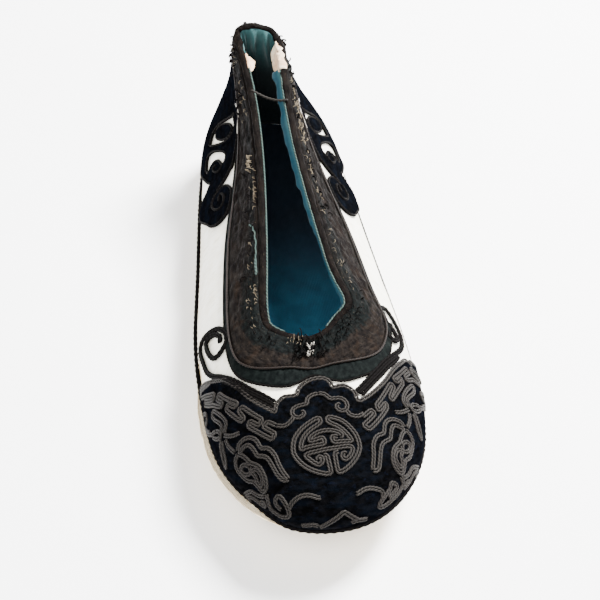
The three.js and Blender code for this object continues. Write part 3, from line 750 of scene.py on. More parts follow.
def build_band():
    rows = 22
    columns = 880
    place = np.broadcast_to(around(columns)[None, :], (rows, columns))
    share = np.linspace(0, 1, rows)[:, None]
    reach = band_edge(place) - 0.15
    down = share * reach + 0.1
    run = along_length(place)
    ridge = np.abs(noise(run * 0.3, down + 1.6 * noise(run, down, 13, 21), 2.0, 22, 2))
    cross = np.abs(noise(run * 0.5, down * 0.5 + 0.4 * noise(run, down, 12, 24), 2.4, 25, 2))
    creases = 0.6 * ridge + 0.3 * cross + 0.2 * noise(run, down, 2.2, 23, 3)
    edge = smoothstep(share, 0, 0.08) * smoothstep(1 - share, 0, 0.1)
    height = OVERLAY_GAP + BAND_THICKNESS * 0.45 + (BAND_THICKNESS * 0.55 + creases) * edge
    outer = at(place, down, height)
    inner = at(place, down, np.full(down.shape, 0.12))
    points, faces = closed_sheet(outer, inner, True)
    uv = cloth_uv(place, down)
    toe_side = np.abs(place - TOE)
    ragged = share * reach + 1.1 * noise(run, down, 2.2, 26, 3)
    green = smoothstep(ragged, 9.0, 7.6) * smoothstep(toe_side, 6.5, 4.0)
    green = np.maximum(green, smoothstep(ragged, 5.6, 4.8) * smoothstep(ragged, 1.6, 2.2)) * 0.85
    fray = 0.35 + 0.65 * smoothstep(share, 0.5, 0.0) * (noise(run, down, 25, 27) > 0)
    both = lambda field: np.tile(np.broadcast_to(field, down.shape).reshape(-1), 2)
    mesh_piece("band_silk", points, faces, brown_silk, np.concatenate([uv, uv]),
               {"green": both(green), "fray": both(fray), "shade": both(smoothstep(toe_side, 3.5, 7.0))},
               ["collar_band"])


def build_border():
    rows = 12
    columns = 660
    place = np.broadcast_to(around(columns)[None, :], (rows, columns))
    share = np.linspace(0, 1, rows)[:, None]
    down = band_edge(place) + 0.15 + share * (border_reach(place) - 0.3)
    run = along_length(place)
    creases = 0.22 * noise(run, down, 3.2, 31, 2)
    edge = smoothstep(share, 0, 0.12) * smoothstep(1 - share, 0, 0.12)
    height = OVERLAY_GAP + BAND_THICKNESS * 0.3 + (BAND_THICKNESS * 0.55 + creases) * edge
    outer = at(place, down, height)
    inner = at(place, down, np.full(down.shape, 0.12))
    points, faces = closed_sheet(outer, inner, True)
    uv = cloth_uv(place, down)
    mesh_piece("border_silk", points, faces, green_silk, np.concatenate([uv, uv]), None,
               ["collar_border"])


class Strands:
    """Twisted cords gathered into one mesh."""

    def __init__(self):
        self.points = []
        self.faces = []
        self.uvs = []
        self.groove = []
        self.count = 0

    def add(self, path, normals, radius, pitch=2.2, plies=2, sides=8, depth=0.16, taper=True, closed=False,
            flat=1.0):
        """One strand along evenly spaced points."""
        count = len(path)
        if closed:
            tangent = unit_vector(np.roll(path, -1, 0) - np.roll(path, 1, 0))
        else:
            tangent = unit_vector(np.gradient(path, axis=0))
        side = unit_vector(np.cross(tangent, normals))
        up = np.cross(side, tangent)
        steps = np.linalg.norm(np.diff(path, axis=0), axis=-1)
        run = np.concatenate([[0], np.cumsum(steps)])
        if closed:
            whole = run[-1] + np.linalg.norm(path[0] - path[-1])
            pitch = whole / max(1, round(whole / pitch))
        angle = 2 * math.pi * np.arange(sides) / sides
        wave = np.cos(plies * (angle[None, :] - 2 * math.pi * run[:, None] / (pitch * plies)))
        size = radius * (1 + depth * wave)
        if taper and not closed:
            ends = np.minimum(run, run[-1] - run)
            size = size * (0.35 + 0.65 * smoothstep(ends, 0, radius))[:, None]
        ring = (path[:, None, :] + side[:, None, :] * (np.cos(angle) * size)[..., None]
                + up[:, None, :] * (np.sin(angle) * size * flat)[..., None])
        first = self.count
        self.points.append(ring.reshape(-1, 3))
        uv = np.stack(np.broadcast_arrays(run[:, None], angle[None, :] * radius), -1)
        self.uvs.append(uv.reshape(-1, 2))
        # groove marks the hollows between the plies, where the cords' material paints shade
        self.groove.append(np.clip(0.15 - wave, 0, 1).reshape(-1))
        for i in range(count if closed else count - 1):
            here = first + i * sides
            after = first + ((i + 1) % count) * sides
            for k in range(sides):
                self.faces.append((here + k, here + (k + 1) % sides, after + (k + 1) % sides, after + k))
        if not closed:
            self.faces.append(tuple(first + k for k in range(sides))[::-1])
            last = first + (count - 1) * sides
            self.faces.append(tuple(last + k for k in range(sides)))
        self.count += count * sides

    def piece(self, name, material, slot, replaces=()):
        return mesh_piece(name, np.concatenate(self.points), self.faces, material,
                          np.concatenate(self.uvs), {"groove": np.concatenate(self.groove)}, replaces)


def chart_line(chart, height, spacing=0.4, sigma=1.2):
    """Points and normals of a line over the upper, from its chart."""
    dense = resampled(np.stack([along_length(chart[:, 0]), chart[:, 1]], -1), spacing / 2)
    place = np.interp(dense[:, 0], table_along, table_places)
    points = at(place, dense[:, 1], np.full(len(place), height))
    joined = resampled(np.concatenate([points, place[:, None], dense[:, 1:]], -1), spacing)
    steps = np.linalg.norm(np.diff(points, axis=0), axis=-1)
    run = np.concatenate([[0], np.cumsum(steps)])
    wanted = np.linspace(0, run[-1], max(4, int(run[-1] / spacing)))
    line = np.stack([np.interp(wanted, run, column) for column in (place, dense[:, 1])], -1)
    line = softened(line, sigma) if len(line) > 8 else line
    points = at(line[:, 0], line[:, 1], np.full(len(line), height))
    normals = wall_normal(line[:, 0], share_below(line[:, 0], line[:, 1]))
    return points, normals


def double_cord(strands, chart, height, radius=0.5, gap=0.62, sigma=1.2, **twist):
    points, normals = chart_line(chart, height, sigma=sigma)
    tangent = unit_vector(np.gradient(points, axis=0))
    side = unit_vector(np.cross(tangent, normals))
    for sign in (-1, 1):
        shifted = points + side * gap * sign
        shifted = softened(shifted, 0.8) if len(shifted) > 8 else shifted
        strands.add(shifted, normals, radius, **twist)


def ring_line(centre_at, count):
    place = np.arange(count) / count * ROUND
    return centre_at(place), outward(place)


def build_base_cord():
    radius = PIPING_DIAMETER / 2

    def centre(place):
        lean = PIPING_DIAMETER * bulge(place) / BELLY_RISE
        pushed = tuck(place)
        point = base_point(place) + outward(place) * (radius + SEAT + lean * (1 - pushed) - TOE_TUCK * pushed)[..., None]
        point[..., 2] += radius
        return point

    strands = Strands()
    points, normals = ring_line(centre, 1400)
    strands.add(points, normals, radius, pitch=3.2, plies=2, sides=8, depth=0.14, closed=True)
    strands.piece("base_cord", black_cord, "black_cord", ["base_piping"])


def rim_frame(place):
    """The middle of the bound edge, with the directions away from the opening and up."""
    middle = (OVERLAY_GAP + BAND_THICKNESS - UPPER_WALL) / 2
    rise = unit_vector(wall_point(place, 1.0) - wall_point(place, 0.99))
    centre = at(place, np.zeros(place.shape), np.full(place.shape, middle)) + rise * (SEAT + 1.0)
    step = 0.02
    ahead = unit_vector(rim_point(place + step) - rim_point(place - step))
    out = outward(place)
    out = unit_vector(out - ahead * (out * ahead).sum(-1, keepdims=True))
    up = unit_vector(np.cross(ahead, out))
    return centre, out, up * np.sign(up[..., 2:3])


# Stretches of the bound edge that still have the teal piping inside them
PIPING_SPANS = [(2.55, 9.1), (12.9, 19.5)]


def build_rim():
    strands = Strands()

    columns = 900
    place = np.arange(columns) / columns * ROUND
    centre, out, up = rim_frame(place)
    run = along_length(place)
    sides = 12
    angle = 2 * math.pi * np.arange(sides) / sides
    torn = smoothstep(np.abs(place - TOE), 7.4, 9.4)[:, None]
    wobble = 1 + (0.12 + 0.3 * torn) * noise(run[:, None], angle[None, :] * 3, 4, 41, 2)
    half_width = 1.75
    half_height = 1.25
    ring = (centre[:, None, :] + out[:, None, :] * (np.cos(angle) * half_width * wobble)[..., None]
            + up[:, None, :] * (np.sin(angle) * half_height * wobble)[..., None])
    faces = []
    for i in range(columns):
        here = i * sides
        after = ((i + 1) % columns) * sides
        for k in range(sides):
            faces.append((here + k, after + k, after + (k + 1) % sides, here + (k + 1) % sides))
    uv = np.stack(np.broadcast_arrays(run[:, None], angle[None, :] * 1.5), -1).reshape(-1, 2)
    nothing = np.zeros(columns * sides)
    mesh_piece("rim_edge", ring.reshape(-1, 3), faces, brown_silk, uv,
               {"green": nothing, "fray": nothing + 0.5, "shade": nothing + 1.0}, ["rim_binding"])
    for start, end in PIPING_SPANS:
        centre, out, up = rim_frame(np.linspace(start, end, columns // 2))
        strands.add(centre - out * 1.6 + up * 0.5, out, 0.4, pitch=1.8, sides=6, depth=0.08)
    strands.piece("rim_teal_piping", teal_cord, "teal_lining")


def sole_bottom(place):
    point = base_point(place) - outward(place) * undercut(place)[..., None]
    along = 0.5 - point[..., 1] / LENGTH
    point[..., 2] = TOE_SPRING * (np.maximum(0, along - SPRING_START) / (1 - SPRING_START)) ** 2
    return point


def sole_top(place):
    welt = SOLE_WELT * np.clip((base_along(place) - WELT_START) / (WELT_FULL - WELT_START), 0, 1) + 0.7 * tuck(place)
    point = base_point(place) + outward(place) * welt[..., None]
    point[..., 2] -= SEAT
    return point


def build_sole():
    columns = 660
    rows = 40
    place = np.broadcast_to(around(columns)[None, :], (rows, columns))
    share = np.linspace(0, 1, rows)[:, None]
    run = along_length(place)
    low = sole_bottom(place)
    high = sole_top(place)
    layer = np.abs((share * SOLE_LAYERS) % 1 - 0.5) * 2
    groove = smoothstep(layer, 0.86, 1.0) * (share > 0.05) * (share < 0.95)
    rough = 0.12 * noise(run, share * 14, 2.4, 51, 2) + 0.12 * noise(run, share * 14, 9, 52)
    rounding = 0.5 * (smoothstep(share, 0.06, 0) + smoothstep(share, 0.94, 1))
    out = outward(place)
    side = low + (high - low) * share[..., None] + out * (rough - 0.5 * groove - rounding - 0.1)[..., None]
    # Rings from the side's edges in to the middle line close the top and the bottom
    rings = 14
    points = [side.reshape(-1, 3)]
    faces = [grid_faces(rows, columns, True, 0, True)]
    stain = [np.broadcast_to(np.clip(0.35 + 0.65 * smoothstep(share, 0.2, 1.0), 0, 1), place.shape).reshape(-1)]
    uvs = [np.stack(np.broadcast_arrays(run, share * SOLE_THICKNESS), -1).reshape(-1, 2)]
    total = rows * columns
    for edge_row, flip in ((0, False), (rows - 1, True)):
        edge = side[edge_row]
        middle = edge.copy()
        middle[:, 0] = edge[:, 0].mean() * 0 + TOE_SWING * (
            np.maximum(0, 0.5 - edge[:, 1] / LENGTH - SWING_START) / (1 - SWING_START)) ** 2
        fraction = np.linspace(0, 1, rings)[1:, None, None] * 0.985
        inner = edge[None] + (middle - edge)[None] * fraction
        plan = inner.reshape(-1, 3)
        points.append(plan)
        stain.append(np.full(len(plan), 0.8))
        uvs.append(plan[:, :2])
        first_row = edge_row * columns + np.arange(columns)
        c = np.arange(columns)
        nxt = (c + 1) % columns
        quads = [np.stack([first_row[c], first_row[nxt], total + nxt, total + c], -1)]
        quads.append(grid_faces(rings - 1, columns, True, total))
        block = np.concatenate(quads)
        faces.append(block[:, ::-1] if flip else block)
        lid_start = total + (rings - 2) * columns
        lid = np.arange(1, columns // 2)
        lid_quads = np.stack([
            lid_start + lid, lid_start + lid + 1,
            lid_start + (columns - lid - 1) % columns, lid_start + (columns - lid) % columns], -1)
        faces.append(lid_quads[:, ::-1] if flip else lid_quads)
        total += len(plan)
    mesh_piece("sole_layers", np.concatenate(points), np.concatenate(faces), sole_cloth,
               np.concatenate(uvs), {"stain": np.concatenate(stain)}, ["sole"])


def build_insole():
    columns = 330
    rings = 18
    place = around(columns)
    inset = UPPER_WALL - 0.4
    edge = base_point(place) - outward(place) * inset
    swing = TOE_SWING * (np.maximum(0, 0.5 - edge[:, 1] / LENGTH - SWING_START) / (1 - SWING_START)) ** 2
    middle = np.stack([swing, edge[:, 1], edge[:, 2]], -1)
    fraction = np.linspace(0, 0.97, rings)[:, None, None]
    top = edge[None] + (middle - edge)[None] * fraction
    low = top.copy()
    low[..., 2] += 0.1
    lift = 0.25 * noise(top[..., 0], top[..., 1], 16, 61, 2)
    top[..., 2] += INSOLE_THICKNESS + 0.1 + lift * smoothstep(fraction[..., 0], 0, 0.2)
    points, faces = closed_sheet(top, low, True)
    count = rings * columns
    last = (rings - 1) * columns
    lid = np.arange(1, columns // 2)
    lid_quads = np.stack([last + lid, last + lid + 1, last + columns - lid - 1, last + (columns - lid) % columns], -1)
    faces = [face for face in faces.tolist() if not (all(k % count >= last for k in face) and min(face) < count <= max(face))]
    faces += lid_quads.tolist()
    faces += (lid_quads[:, ::-1] + count).tolist()
    uv = points[:, :2]
    shade = np.clip(smoothstep(points[:, 1], -45, 60), 0, 1)
    mesh_piece("insole_cloth", points, faces, insole_cloth, uv, {"shade": shade}, ["insole"])


# Velvet cut to an outline

def inside_outline(spots, outline):
    """Which spots of the chart lie inside a closed outline."""
    x, y = spots[:, 0][:, None], spots[:, 1][:, None]
    a = outline
    b = np.roll(outline, -1, 0)
    crosses = (a[:, 1] > y) != (b[:, 1] > y)
    rise = np.where(b[:, 1] == a[:, 1], 1e-9, b[:, 1] - a[:, 1])
    where = a[:, 0] + (y - a[:, 1]) * (b[:, 0] - a[:, 0]) / rise
    return (np.sum(crosses & (x < where), axis=1) % 2) == 1


def flat_chart(chart):
    """The chart with the place measured in millimetres round the shoe."""
    return np.stack([along_length(chart[:, 0]), chart[:, 1]], -1)


def place_of(run):
    return np.interp(run, table_along, table_places)


def cut_sheet(outline, holes, spacing, top, swell):
    """A closed sheet over the upper, cut to chart outlines, with rolled edges.

    Returns points, faces, cloth coordinates and the distance of each point to the edge.
    """
    loops = [flat_chart(loop) for loop in [outline, *holes]]
    loops = [resampled(np.concatenate([loop, loop[:1]]), spacing * 0.6)[:-1] for loop in loops]
    edge = np.concatenate(loops)
    edge_points = at(place_of(edge[:, 0]), edge[:, 1], np.zeros(len(edge)))
    low, high = edge.min(0), edge.max(0)
    inner = []
    offset = 0.0
    for down in np.arange(low[1] + spacing / 2, high[1], spacing * 0.87):
        fine = np.linspace(low[0], high[0], 400)
        line = at(place_of(fine), np.full(400, down), np.zeros(400))
        run = np.concatenate([[0], np.cumsum(np.linalg.norm(np.diff(line, axis=0), axis=-1))])
        wanted = np.arange(offset, run[-1], spacing)
        inner.append(np.stack([np.interp(wanted, run, fine), np.full(len(wanted), down)], -1))
        offset = spacing / 2 - offset
    inner = np.concatenate(inner)
    keep = inside_outline(inner, loops[0])
    for hole in loops[1:]:
        keep &= ~inside_outline(inner, hole)
    inner = inner[keep]
    inner_points = at(place_of(inner[:, 0]), inner[:, 1], np.zeros(len(inner)))
    tree = KDTree(len(edge_points))
    for i, point in enumerate(edge_points):
        tree.insert(Vector(point), i)
    tree.balance()
    distance = np.array([tree.find(Vector(point))[2] for point in inner_points])
    keep = distance > spacing * 0.45
    inner, distance = inner[keep], distance[keep]
    spots = np.concatenate([edge, inner])
    joints = []
    start = 0
    for loop in loops:
        joints += [(start + i, start + (i + 1) % len(loop)) for i in range(len(loop))]
        start += len(loop)
    found = delaunay_2d_cdt([Vector(spot) for spot in spots], joints, [], 0, 1e-6)
    spots = np.array([tuple(spot) for spot in found[0]])
    faces = np.array([face for face in found[2] if len(face) == 3])
    middle = spots[faces].mean(1)
    keep = inside_outline(middle, loops[0])
    for hole in loops[1:]:
        keep &= ~inside_outline(middle, hole)
    faces = faces[keep]
    used = np.unique(faces)
    number = np.full(len(spots), -1)
    number[used] = np.arange(len(used))
    faces, spots = number[faces], spots[used]
    away = np.array([tree.find(Vector(point))[2]
                     for point in at(place_of(spots[:, 0]), spots[:, 1], np.zeros(len(spots)))])
    rim = np.zeros(len(spots), bool)
    sides = np.sort(np.concatenate([faces[:, [0, 1]], faces[:, [1, 2]], faces[:, [2, 0]]]), axis=1)
    sides, times = np.unique(sides, axis=0, return_counts=True)
    rim[sides[times == 1].ravel()] = True
    away[rim] = 0
    place, down = place_of(spots[:, 0]), spots[:, 1]
    roll = np.clip(away / swell, 0, 1)
    lift = 0.12 + (top - 0.12) * np.sqrt(1 - (1 - roll) ** 2)
    lift = lift + 0.10 * noise(spots[:, 0], spots[:, 1], 7, 71, 2) * smoothstep(away, 0.5, 3)
    upper_side = at(place, down, lift)
    lower_side = at(place[~rim], down[~rim], np.full((~rim).sum(), 0.1))
    below = np.arange(len(spots))
    below[~rim] = len(spots) + np.arange((~rim).sum())
    under = below[faces]
    up = np.cross(upper_side[faces[:, 1]] - upper_side[faces[:, 0]], upper_side[faces[:, 2]] - upper_side[faces[:, 0]])
    normals = wall_normal(place[faces[:, 0]], share_below(place[faces[:, 0]], down[faces[:, 0]]))
    turned = (up * normals).sum(-1) < 0
    faces[turned] = faces[turned][:, ::-1]
    under[~turned] = under[~turned][:, ::-1]
    points = np.concatenate([upper_side, lower_side])
    uv = np.concatenate([spots, spots[~rim]])
    return points, np.concatenate([faces, under]), uv, np.concatenate([away, away[~rim]])


VELVET_TOP = OVERLAY_GAP + VELVET_THICKNESS - 0.1

# The edge of the toe's velvet in the photograph's pixels, from the wing's tip to the cloud's middle
CAP_EDGE_LEFT = [
    (331.5, 386.7), (335.0, 380.8), (340.0, 379.0), (345.0, 378.3), (350.0, 378.2), (355.0, 378.7), (364.2, 385.8),
    (375.0, 396.7), (385.0, 404.0), (391.7, 408.3), (395.0, 410.3), (395.8, 406.8), (397.6, 402.4), (402.0, 398.6),
    (405.1, 397.4), (412.6, 397.4), (415.8, 396.1), (417.0, 392.4), (420.1, 389.3), (423.9, 386.8), (429.5, 384.9),
]
CAP_EDGE_RIGHT = [
    (435.8, 384.3), (441.4, 385.5), (445.1, 388.6), (446.4, 391.8), (447.6, 393.6), (452.0, 393.0), (457.6, 393.0),
    (462.6, 396.1), (466.4, 399.9), (467.0, 403.0), (468.9, 407.4), (472.6, 406.8), (480.0, 403.0), (493.3, 393.3),
    (503.3, 382.5), (510.0, 378.0), (514.2, 376.5), (518.5, 381.7),
]
# Hidden ends of the wings: section counted from the toe seam, millimetres below the rim
WING_END = [(3.72, 33.5), (3.90, 41.0), (3.98, 48.0)]


def cap_edge():
    left = chart_of(CAP_EDGE_LEFT)
    right = chart_of(CAP_EDGE_RIGHT)
    end = np.array(WING_END)
    left_end = np.stack([TOE + end[::-1, 0], end[::-1, 1]], -1)
    right_end = np.stack([TOE - end[:, 0], end[:, 1]], -1)
    return curved(np.concatenate([left_end, left, right, right_end]), steps=6)


cap_line = cap_edge()


def build_toe_velvet():
    first, last = cap_line[0], cap_line[-1]
    foot = np.linspace(last[0], first[0], 240)
    foot = np.stack([foot, whole_length(foot) - 1.0], -1)
    outline = np.concatenate([cap_line, foot])
    points, faces, uv, away = cut_sheet(outline, [], 1.0, VELVET_TOP, 1.1)
    low = smoothstep(whole_length(place_of(uv[:, 0])) - uv[:, 1], 7, 0)
    mesh_piece("toe_velvet", points, faces, velvet, uv,
               {"rub": np.clip(0.25 + 0.75 * low, 0, 1)}, ["toe_cap"])


# The velvet scroll beside the heel, read off the left side: its edge from the band down to the foot of the lobe
SCROLL_LOBE = [
    (378.3, 190.5), (375.0, 196.5), (371.0, 203.0), (367.0, 208.5), (363.5, 213.3), (361.3, 218.0), (363.0, 216.4),
    (366.0, 212.6), (368.6, 210.8), (371.4, 210.3), (373.8, 212.2), (374.6, 215.6), (373.8, 220.6), (372.3, 226.0),
    (370.0, 232.0), (366.5, 237.0), (362.0, 241.5), (357.5, 244.3), (353.6, 244.8), (351.0, 243.0),
]
# The notch of white silk between the two lobes, and the crescent of it over the upper lobe
SCROLL_NOTCH = [(352.6, 217.5), (354.8, 213.0), (357.4, 207.8), (355.0, 207.4)]
SCROLL_CRESCENT = [
    (354.6, 197.5), (355.2, 190.5), (357.0, 184.6), (360.8, 181.2), (366.0, 180.2), (371.0, 181.2), (372.8, 184.4),
    (371.6, 188.4), (369.0, 192.5), (366.8, 189.6), (365.6, 188.2), (363.2, 188.8), (360.6, 191.0), (358.4, 194.4),
    (356.6, 198.2),
]
# Parts of its edge that face away from the camera: section counted from the heel seam and share of the wall's length
SCROLL_TOP = [(1.70, 0.16), (2.40, 0.16), (2.90, 0.18)]
SCROLL_FOOT = [(4.22, 0.82), (4.00, 0.84)]
SCROLL_BACK = [(3.22, 0.84), (2.95, 0.88), (2.55, 0.87), (1.90, 0.80), (1.52, 0.55), (1.48, 0.28)]
# Cords that curl inside the two lobes
LOWER_CURL = [
    (361.3, 218.0), (358.6, 223.0), (357.4, 228.0), (359.6, 231.2), (364.0, 230.0), (367.4, 225.0), (368.2, 219.6),
    (366.4, 217.6), (364.4, 220.0), (363.6, 224.0),
]
UPPER_CURL = [(369.0, 192.5), (367.4, 196.5), (364.2, 198.8), (361.4, 197.4), (362.0, 194.2), (364.4, 192.8)]
ALMOND_EDGE = [
    (361.3, 174.0), (362.0, 170.0), (364.0, 165.0), (367.0, 160.5), (371.0, 157.0), (376.0, 154.5), (380.0, 152.5),
    (383.0, 150.0), (381.6, 154.0), (381.8, 158.0), (381.5, 161.0), (380.0, 164.5), (376.5, 169.0), (372.0, 172.0),
    (367.0, 173.4),
]


def side_chart(chart, left):
    out = np.array(chart, float)
    if left:
        out[:, 0] = ROUND - out[:, 0]
    return out


almond_chart = side_chart(chart_of(ALMOND_EDGE), True)
almond_chart = almond_chart.mean(0) + (almond_chart - almond_chart.mean(0)) * 1.12
EYE_EDGE = [
    (365.6, 167.0), (366.8, 162.5), (370.5, 158.8), (375.0, 157.3), (378.8, 158.0), (380.0, 161.5), (378.6, 166.0),
    (375.0, 169.8), (370.5, 171.0), (366.6, 170.0),
]
eye_chart = side_chart(chart_of(EYE_EDGE), True)


def wall_chart(spots):
    return np.array([(section, share * whole_length(section)) for section, share in spots])


def left_marks(marks):
    return side_chart(chart_of(marks), True)


scroll_chart = np.concatenate([
    wall_chart(SCROLL_TOP), left_marks(SCROLL_LOBE), wall_chart(SCROLL_FOOT), left_marks(SCROLL_NOTCH),
    wall_chart(SCROLL_BACK),
])
crescent_chart = left_marks(SCROLL_CRESCENT)
curl_charts = [left_marks(LOWER_CURL), left_marks(UPPER_CURL)]


def build_heel_scroll(name, node, left):
    outline = side_chart(curved(scroll_chart, True), left)
    almond = side_chart(curved(almond_chart, True, 4), left)
    crescent = side_chart(curved(crescent_chart, True, 4), left)
    points, faces, uv, away = cut_sheet(outline, [almond, crescent], 0.9, VELVET_TOP, 1.0)
    mesh_piece(name, points, faces, velvet, uv, {"rub": np.full(len(points), 0.3)}, [node])
    strands = Strands()
    loops = [(outline, 1.0), (almond, 0.9), (crescent, 0.9)]
    for loop, height in loops:
        line = np.concatenate([loop, loop[:1]])
        points, normals = chart_line(line, height, spacing=0.45)
        strands.add(points, normals, 0.62, pitch=2.0)
    for curl in curl_charts:
        points, normals = chart_line(side_chart(curved(curl, steps=6), left), VELVET_TOP + 0.1, spacing=0.45, sigma=0.8)
        strands.add(points, normals, 0.62, pitch=2.0)
    strands.piece(name.replace("velvet", "edge_cord"), black_cord, "black_cord")
    disc = side_chart(curved(eye_chart, True, 5), left)
    points, faces, uv, away = cut_sheet(disc, [], 0.9, VELVET_TOP, 1.0)
    mesh_piece(name.replace("velvet", "eye"), points, faces, velvet, uv,
               {"rub": np.full(len(points), 0.3)})
    strands = Strands()
    points, normals = chart_line(np.concatenate([disc, disc[:1]]), 0.95, spacing=0.45)
    strands.add(points, normals, 0.55, pitch=2.0)
    strands.piece(name.replace("velvet", "eye_cord"), black_cord, "black_cord")


# Couched double cords beside the cap's wing with the curl on each side, from the eye of the curl
SIDE_CORD_LEFT = [
    (351.7, 345.8), (352.5, 340.0), (346.7, 338.3), (340.0, 345.0), (341.7, 355.0), (346.7, 358.3), (353.3, 351.7),
    (359.2, 341.7), (355.8, 335.0), (350.0, 333.3), (341.7, 337.5), (335.8, 345.0), (334.2, 353.3), (335.8, 361.7),
    (338.3, 370.0), (343.5, 374.0), (350.0, 375.0), (358.0, 377.6), (366.0, 382.2), (374.0, 387.8), (382.0, 392.4),
    (390.0, 397.6), (396.0, 402.0),
]
SIDE_CORD_RIGHT = [
    (502.5, 341.7), (505.0, 347.5), (507.5, 352.5), (509.0, 357.0), (505.0, 357.5), (499.2, 348.3), (495.8, 338.3),
    (495.0, 329.2), (500.0, 329.2), (505.0, 336.7), (510.0, 348.3), (512.5, 358.3), (511.5, 365.7), (506.0, 369.6),
    (498.0, 374.0), (490.0, 380.6), (482.0, 387.4), (474.0, 394.4), (467.5, 399.6),
]
# The second cord that runs below each of them to the notch of the cap
LOWER_CORD_LEFT = [
    (352.0, 378.8), (359.0, 382.2), (366.0, 387.4), (374.0, 393.0), (382.0, 397.6), (390.0, 402.8), (394.5, 406.0),
]
LOWER_CORD_RIGHT = [(508.5, 371.8), (500.0, 378.2), (492.0, 385.0), (484.0, 391.6), (477.0, 397.6), (471.5, 402.0)]


def build_side_cords():
    for name, node, upper_marks, lower_marks in (
        ("side_cords_left", "side_cord_left", SIDE_CORD_LEFT, LOWER_CORD_LEFT),
        ("side_cords_right", "side_cord_right", SIDE_CORD_RIGHT, LOWER_CORD_RIGHT),
    ):
        strands = Strands()
        for marks in (upper_marks, lower_marks):
            double_cord(strands, curved(chart_of(marks), steps=6), 0.9, radius=0.64, gap=0.58, pitch=2.4)
        strands.piece(name, black_cord, "black_cord", [node])


# Couched grey cords on the toe, as lines of pixels in the photograph. The left half is repeated on the right.
FRET = [
    (395.0, 422.3), (391.5, 420.3), (388.0, 418.3), (383.8, 422.3), (393.7, 429.3), (390.5, 434.2), (370.8, 420.3),
    (373.0, 416.0), (380.3, 421.0), (383.5, 415.8), (367.5, 403.0), (364.0, 406.3), (368.2, 413.2), (365.8, 416.0),
    (353.6, 404.2), (355.8, 399.6), (361.0, 403.2), (363.5, 399.5), (349.0, 389.8), (346.6, 394.8), (351.3, 397.8),
    (349.5, 401.5), (343.0, 399.2), (336.0, 398.7), (336.2, 395.0), (343.6, 394.6), (344.3, 389.5), (338.0, 390.5),
    (333.5, 392.3),
]
BOW_UPPER_LOOP = [
    (348.5, 424.5), (348.2, 420.6), (348.2, 417.2), (346.0, 414.4), (343.2, 412.2), (341.3, 408.9), (341.6, 405.6),
    (343.2, 404.4), (345.4, 406.1), (348.2, 408.6), (351.0, 412.0), (352.3, 415.0), (352.0, 418.3), (350.8, 421.7),
    (350.4, 424.4),
]
BOW_SIDE_LOOP = [
    (340.0, 424.5), (335.0, 421.0), (333.0, 414.0), (333.4, 408.5), (335.0, 405.8), (336.3, 408.0), (336.0, 413.0),
    (334.8, 418.0), (338.0, 423.0),
]
BOW_KNOT = [
    (343.2, 422.0), (340.5, 423.5), (340.2, 426.5), (342.5, 428.8), (345.8, 428.0), (347.0, 425.0), (345.5, 422.5),
    (343.2, 422.0),
]
BOW_RIBBON = [(349.5, 426.2), (356.0, 427.4), (360.4, 426.4), (363.0, 425.6)]
BOW_TAIL = [
    (346.4, 429.5), (345.6, 435.6), (346.0, 442.2), (347.0, 448.9), (348.4, 455.0), (349.2, 450.0), (348.9, 445.0),
    (348.0, 439.0), (347.8, 431.1),
]
BOW_TO_BAT = [(350.6, 429.5), (352.4, 435.6), (354.9, 439.4), (357.6, 442.2)]
BAT_OUTER = [
    (360.0, 441.0), (361.3, 436.1), (363.8, 433.3), (367.1, 431.1), (371.3, 430.4), (374.9, 431.7), (377.4, 434.4),
    (379.1, 438.3), (381.0, 440.8), (384.9, 440.8), (387.9, 442.5), (390.4, 445.6), (392.4, 449.4), (393.5, 453.6),
    (395.2, 458.3), (397.4, 463.1), (399.9, 467.2), (401.6, 469.8),
]
BAT_INNER = [
    (361.0, 444.0), (364.3, 439.4), (367.7, 436.9), (370.2, 436.9), (372.9, 439.7), (374.9, 443.3), (376.8, 446.9),
    (380.7, 447.5), (384.1, 448.9), (386.3, 451.7), (388.2, 455.6), (389.9, 459.4), (392.1, 464.2), (394.9, 468.3),
    (398.2, 470.6), (401.6, 470.0),
]
COIN_RIM = [
    (360.0, 443.5), (357.5, 449.0), (357.8, 455.0), (360.0, 460.0), (363.5, 464.5), (367.5, 468.0), (371.0, 468.6),
    (374.0, 472.0), (377.0, 476.5), (379.5, 478.5), (381.5, 476.0), (382.0, 471.0), (381.5, 466.5), (380.0, 462.0),
    (378.0, 457.5), (375.0, 454.5), (372.0, 453.2), (369.5, 451.8), (367.0, 448.5), (364.0, 445.5), (360.0, 443.5),
]
COIN_KNOT = [
    (369.0, 455.5), (365.5, 453.3), (362.3, 454.5), (361.8, 458.0), (364.0, 461.3), (367.5, 462.0), (370.5, 460.0),
    (373.5, 458.0), (376.5, 460.0), (378.5, 464.0), (379.0, 469.0), (378.2, 473.0), (376.2, 472.2), (374.5, 468.5),
    (373.5, 464.5), (371.5, 461.5), (369.8, 459.0), (369.0, 455.5),
]
RIBBON_UPPER = [
    (362.8, 479.0), (364.5, 477.8), (368.0, 476.7), (370.5, 478.0), (373.5, 480.5), (377.0, 482.2), (380.0, 482.2),
]
RIBBON_LOWER = [
    (368.0, 486.0), (365.2, 482.5), (365.6, 481.4), (368.4, 481.8), (372.0, 484.5), (375.5, 488.0), (379.3, 491.2),
    (379.0, 487.5), (376.0, 486.8),
]
CURL = [
    (393.0, 495.5), (390.0, 492.0), (388.5, 489.0), (389.0, 485.5), (391.3, 483.5), (393.8, 485.0), (395.5, 488.0),
    (397.3, 491.5), (398.8, 495.5), (399.5, 499.0), (398.5, 502.0), (395.5, 502.0), (392.0, 501.0), (389.0, 498.5),
    (386.0, 496.0), (384.0, 493.5), (383.0, 490.0), (382.0, 485.5), (381.5, 480.5),
]
ARCH = [
    (399.6, 495.4), (401.8, 491.6), (404.6, 488.8), (409.0, 486.3), (414.0, 485.2), (418.7, 485.7), (422.8, 487.3),
    (426.5, 488.8), (428.1, 488.6),
]
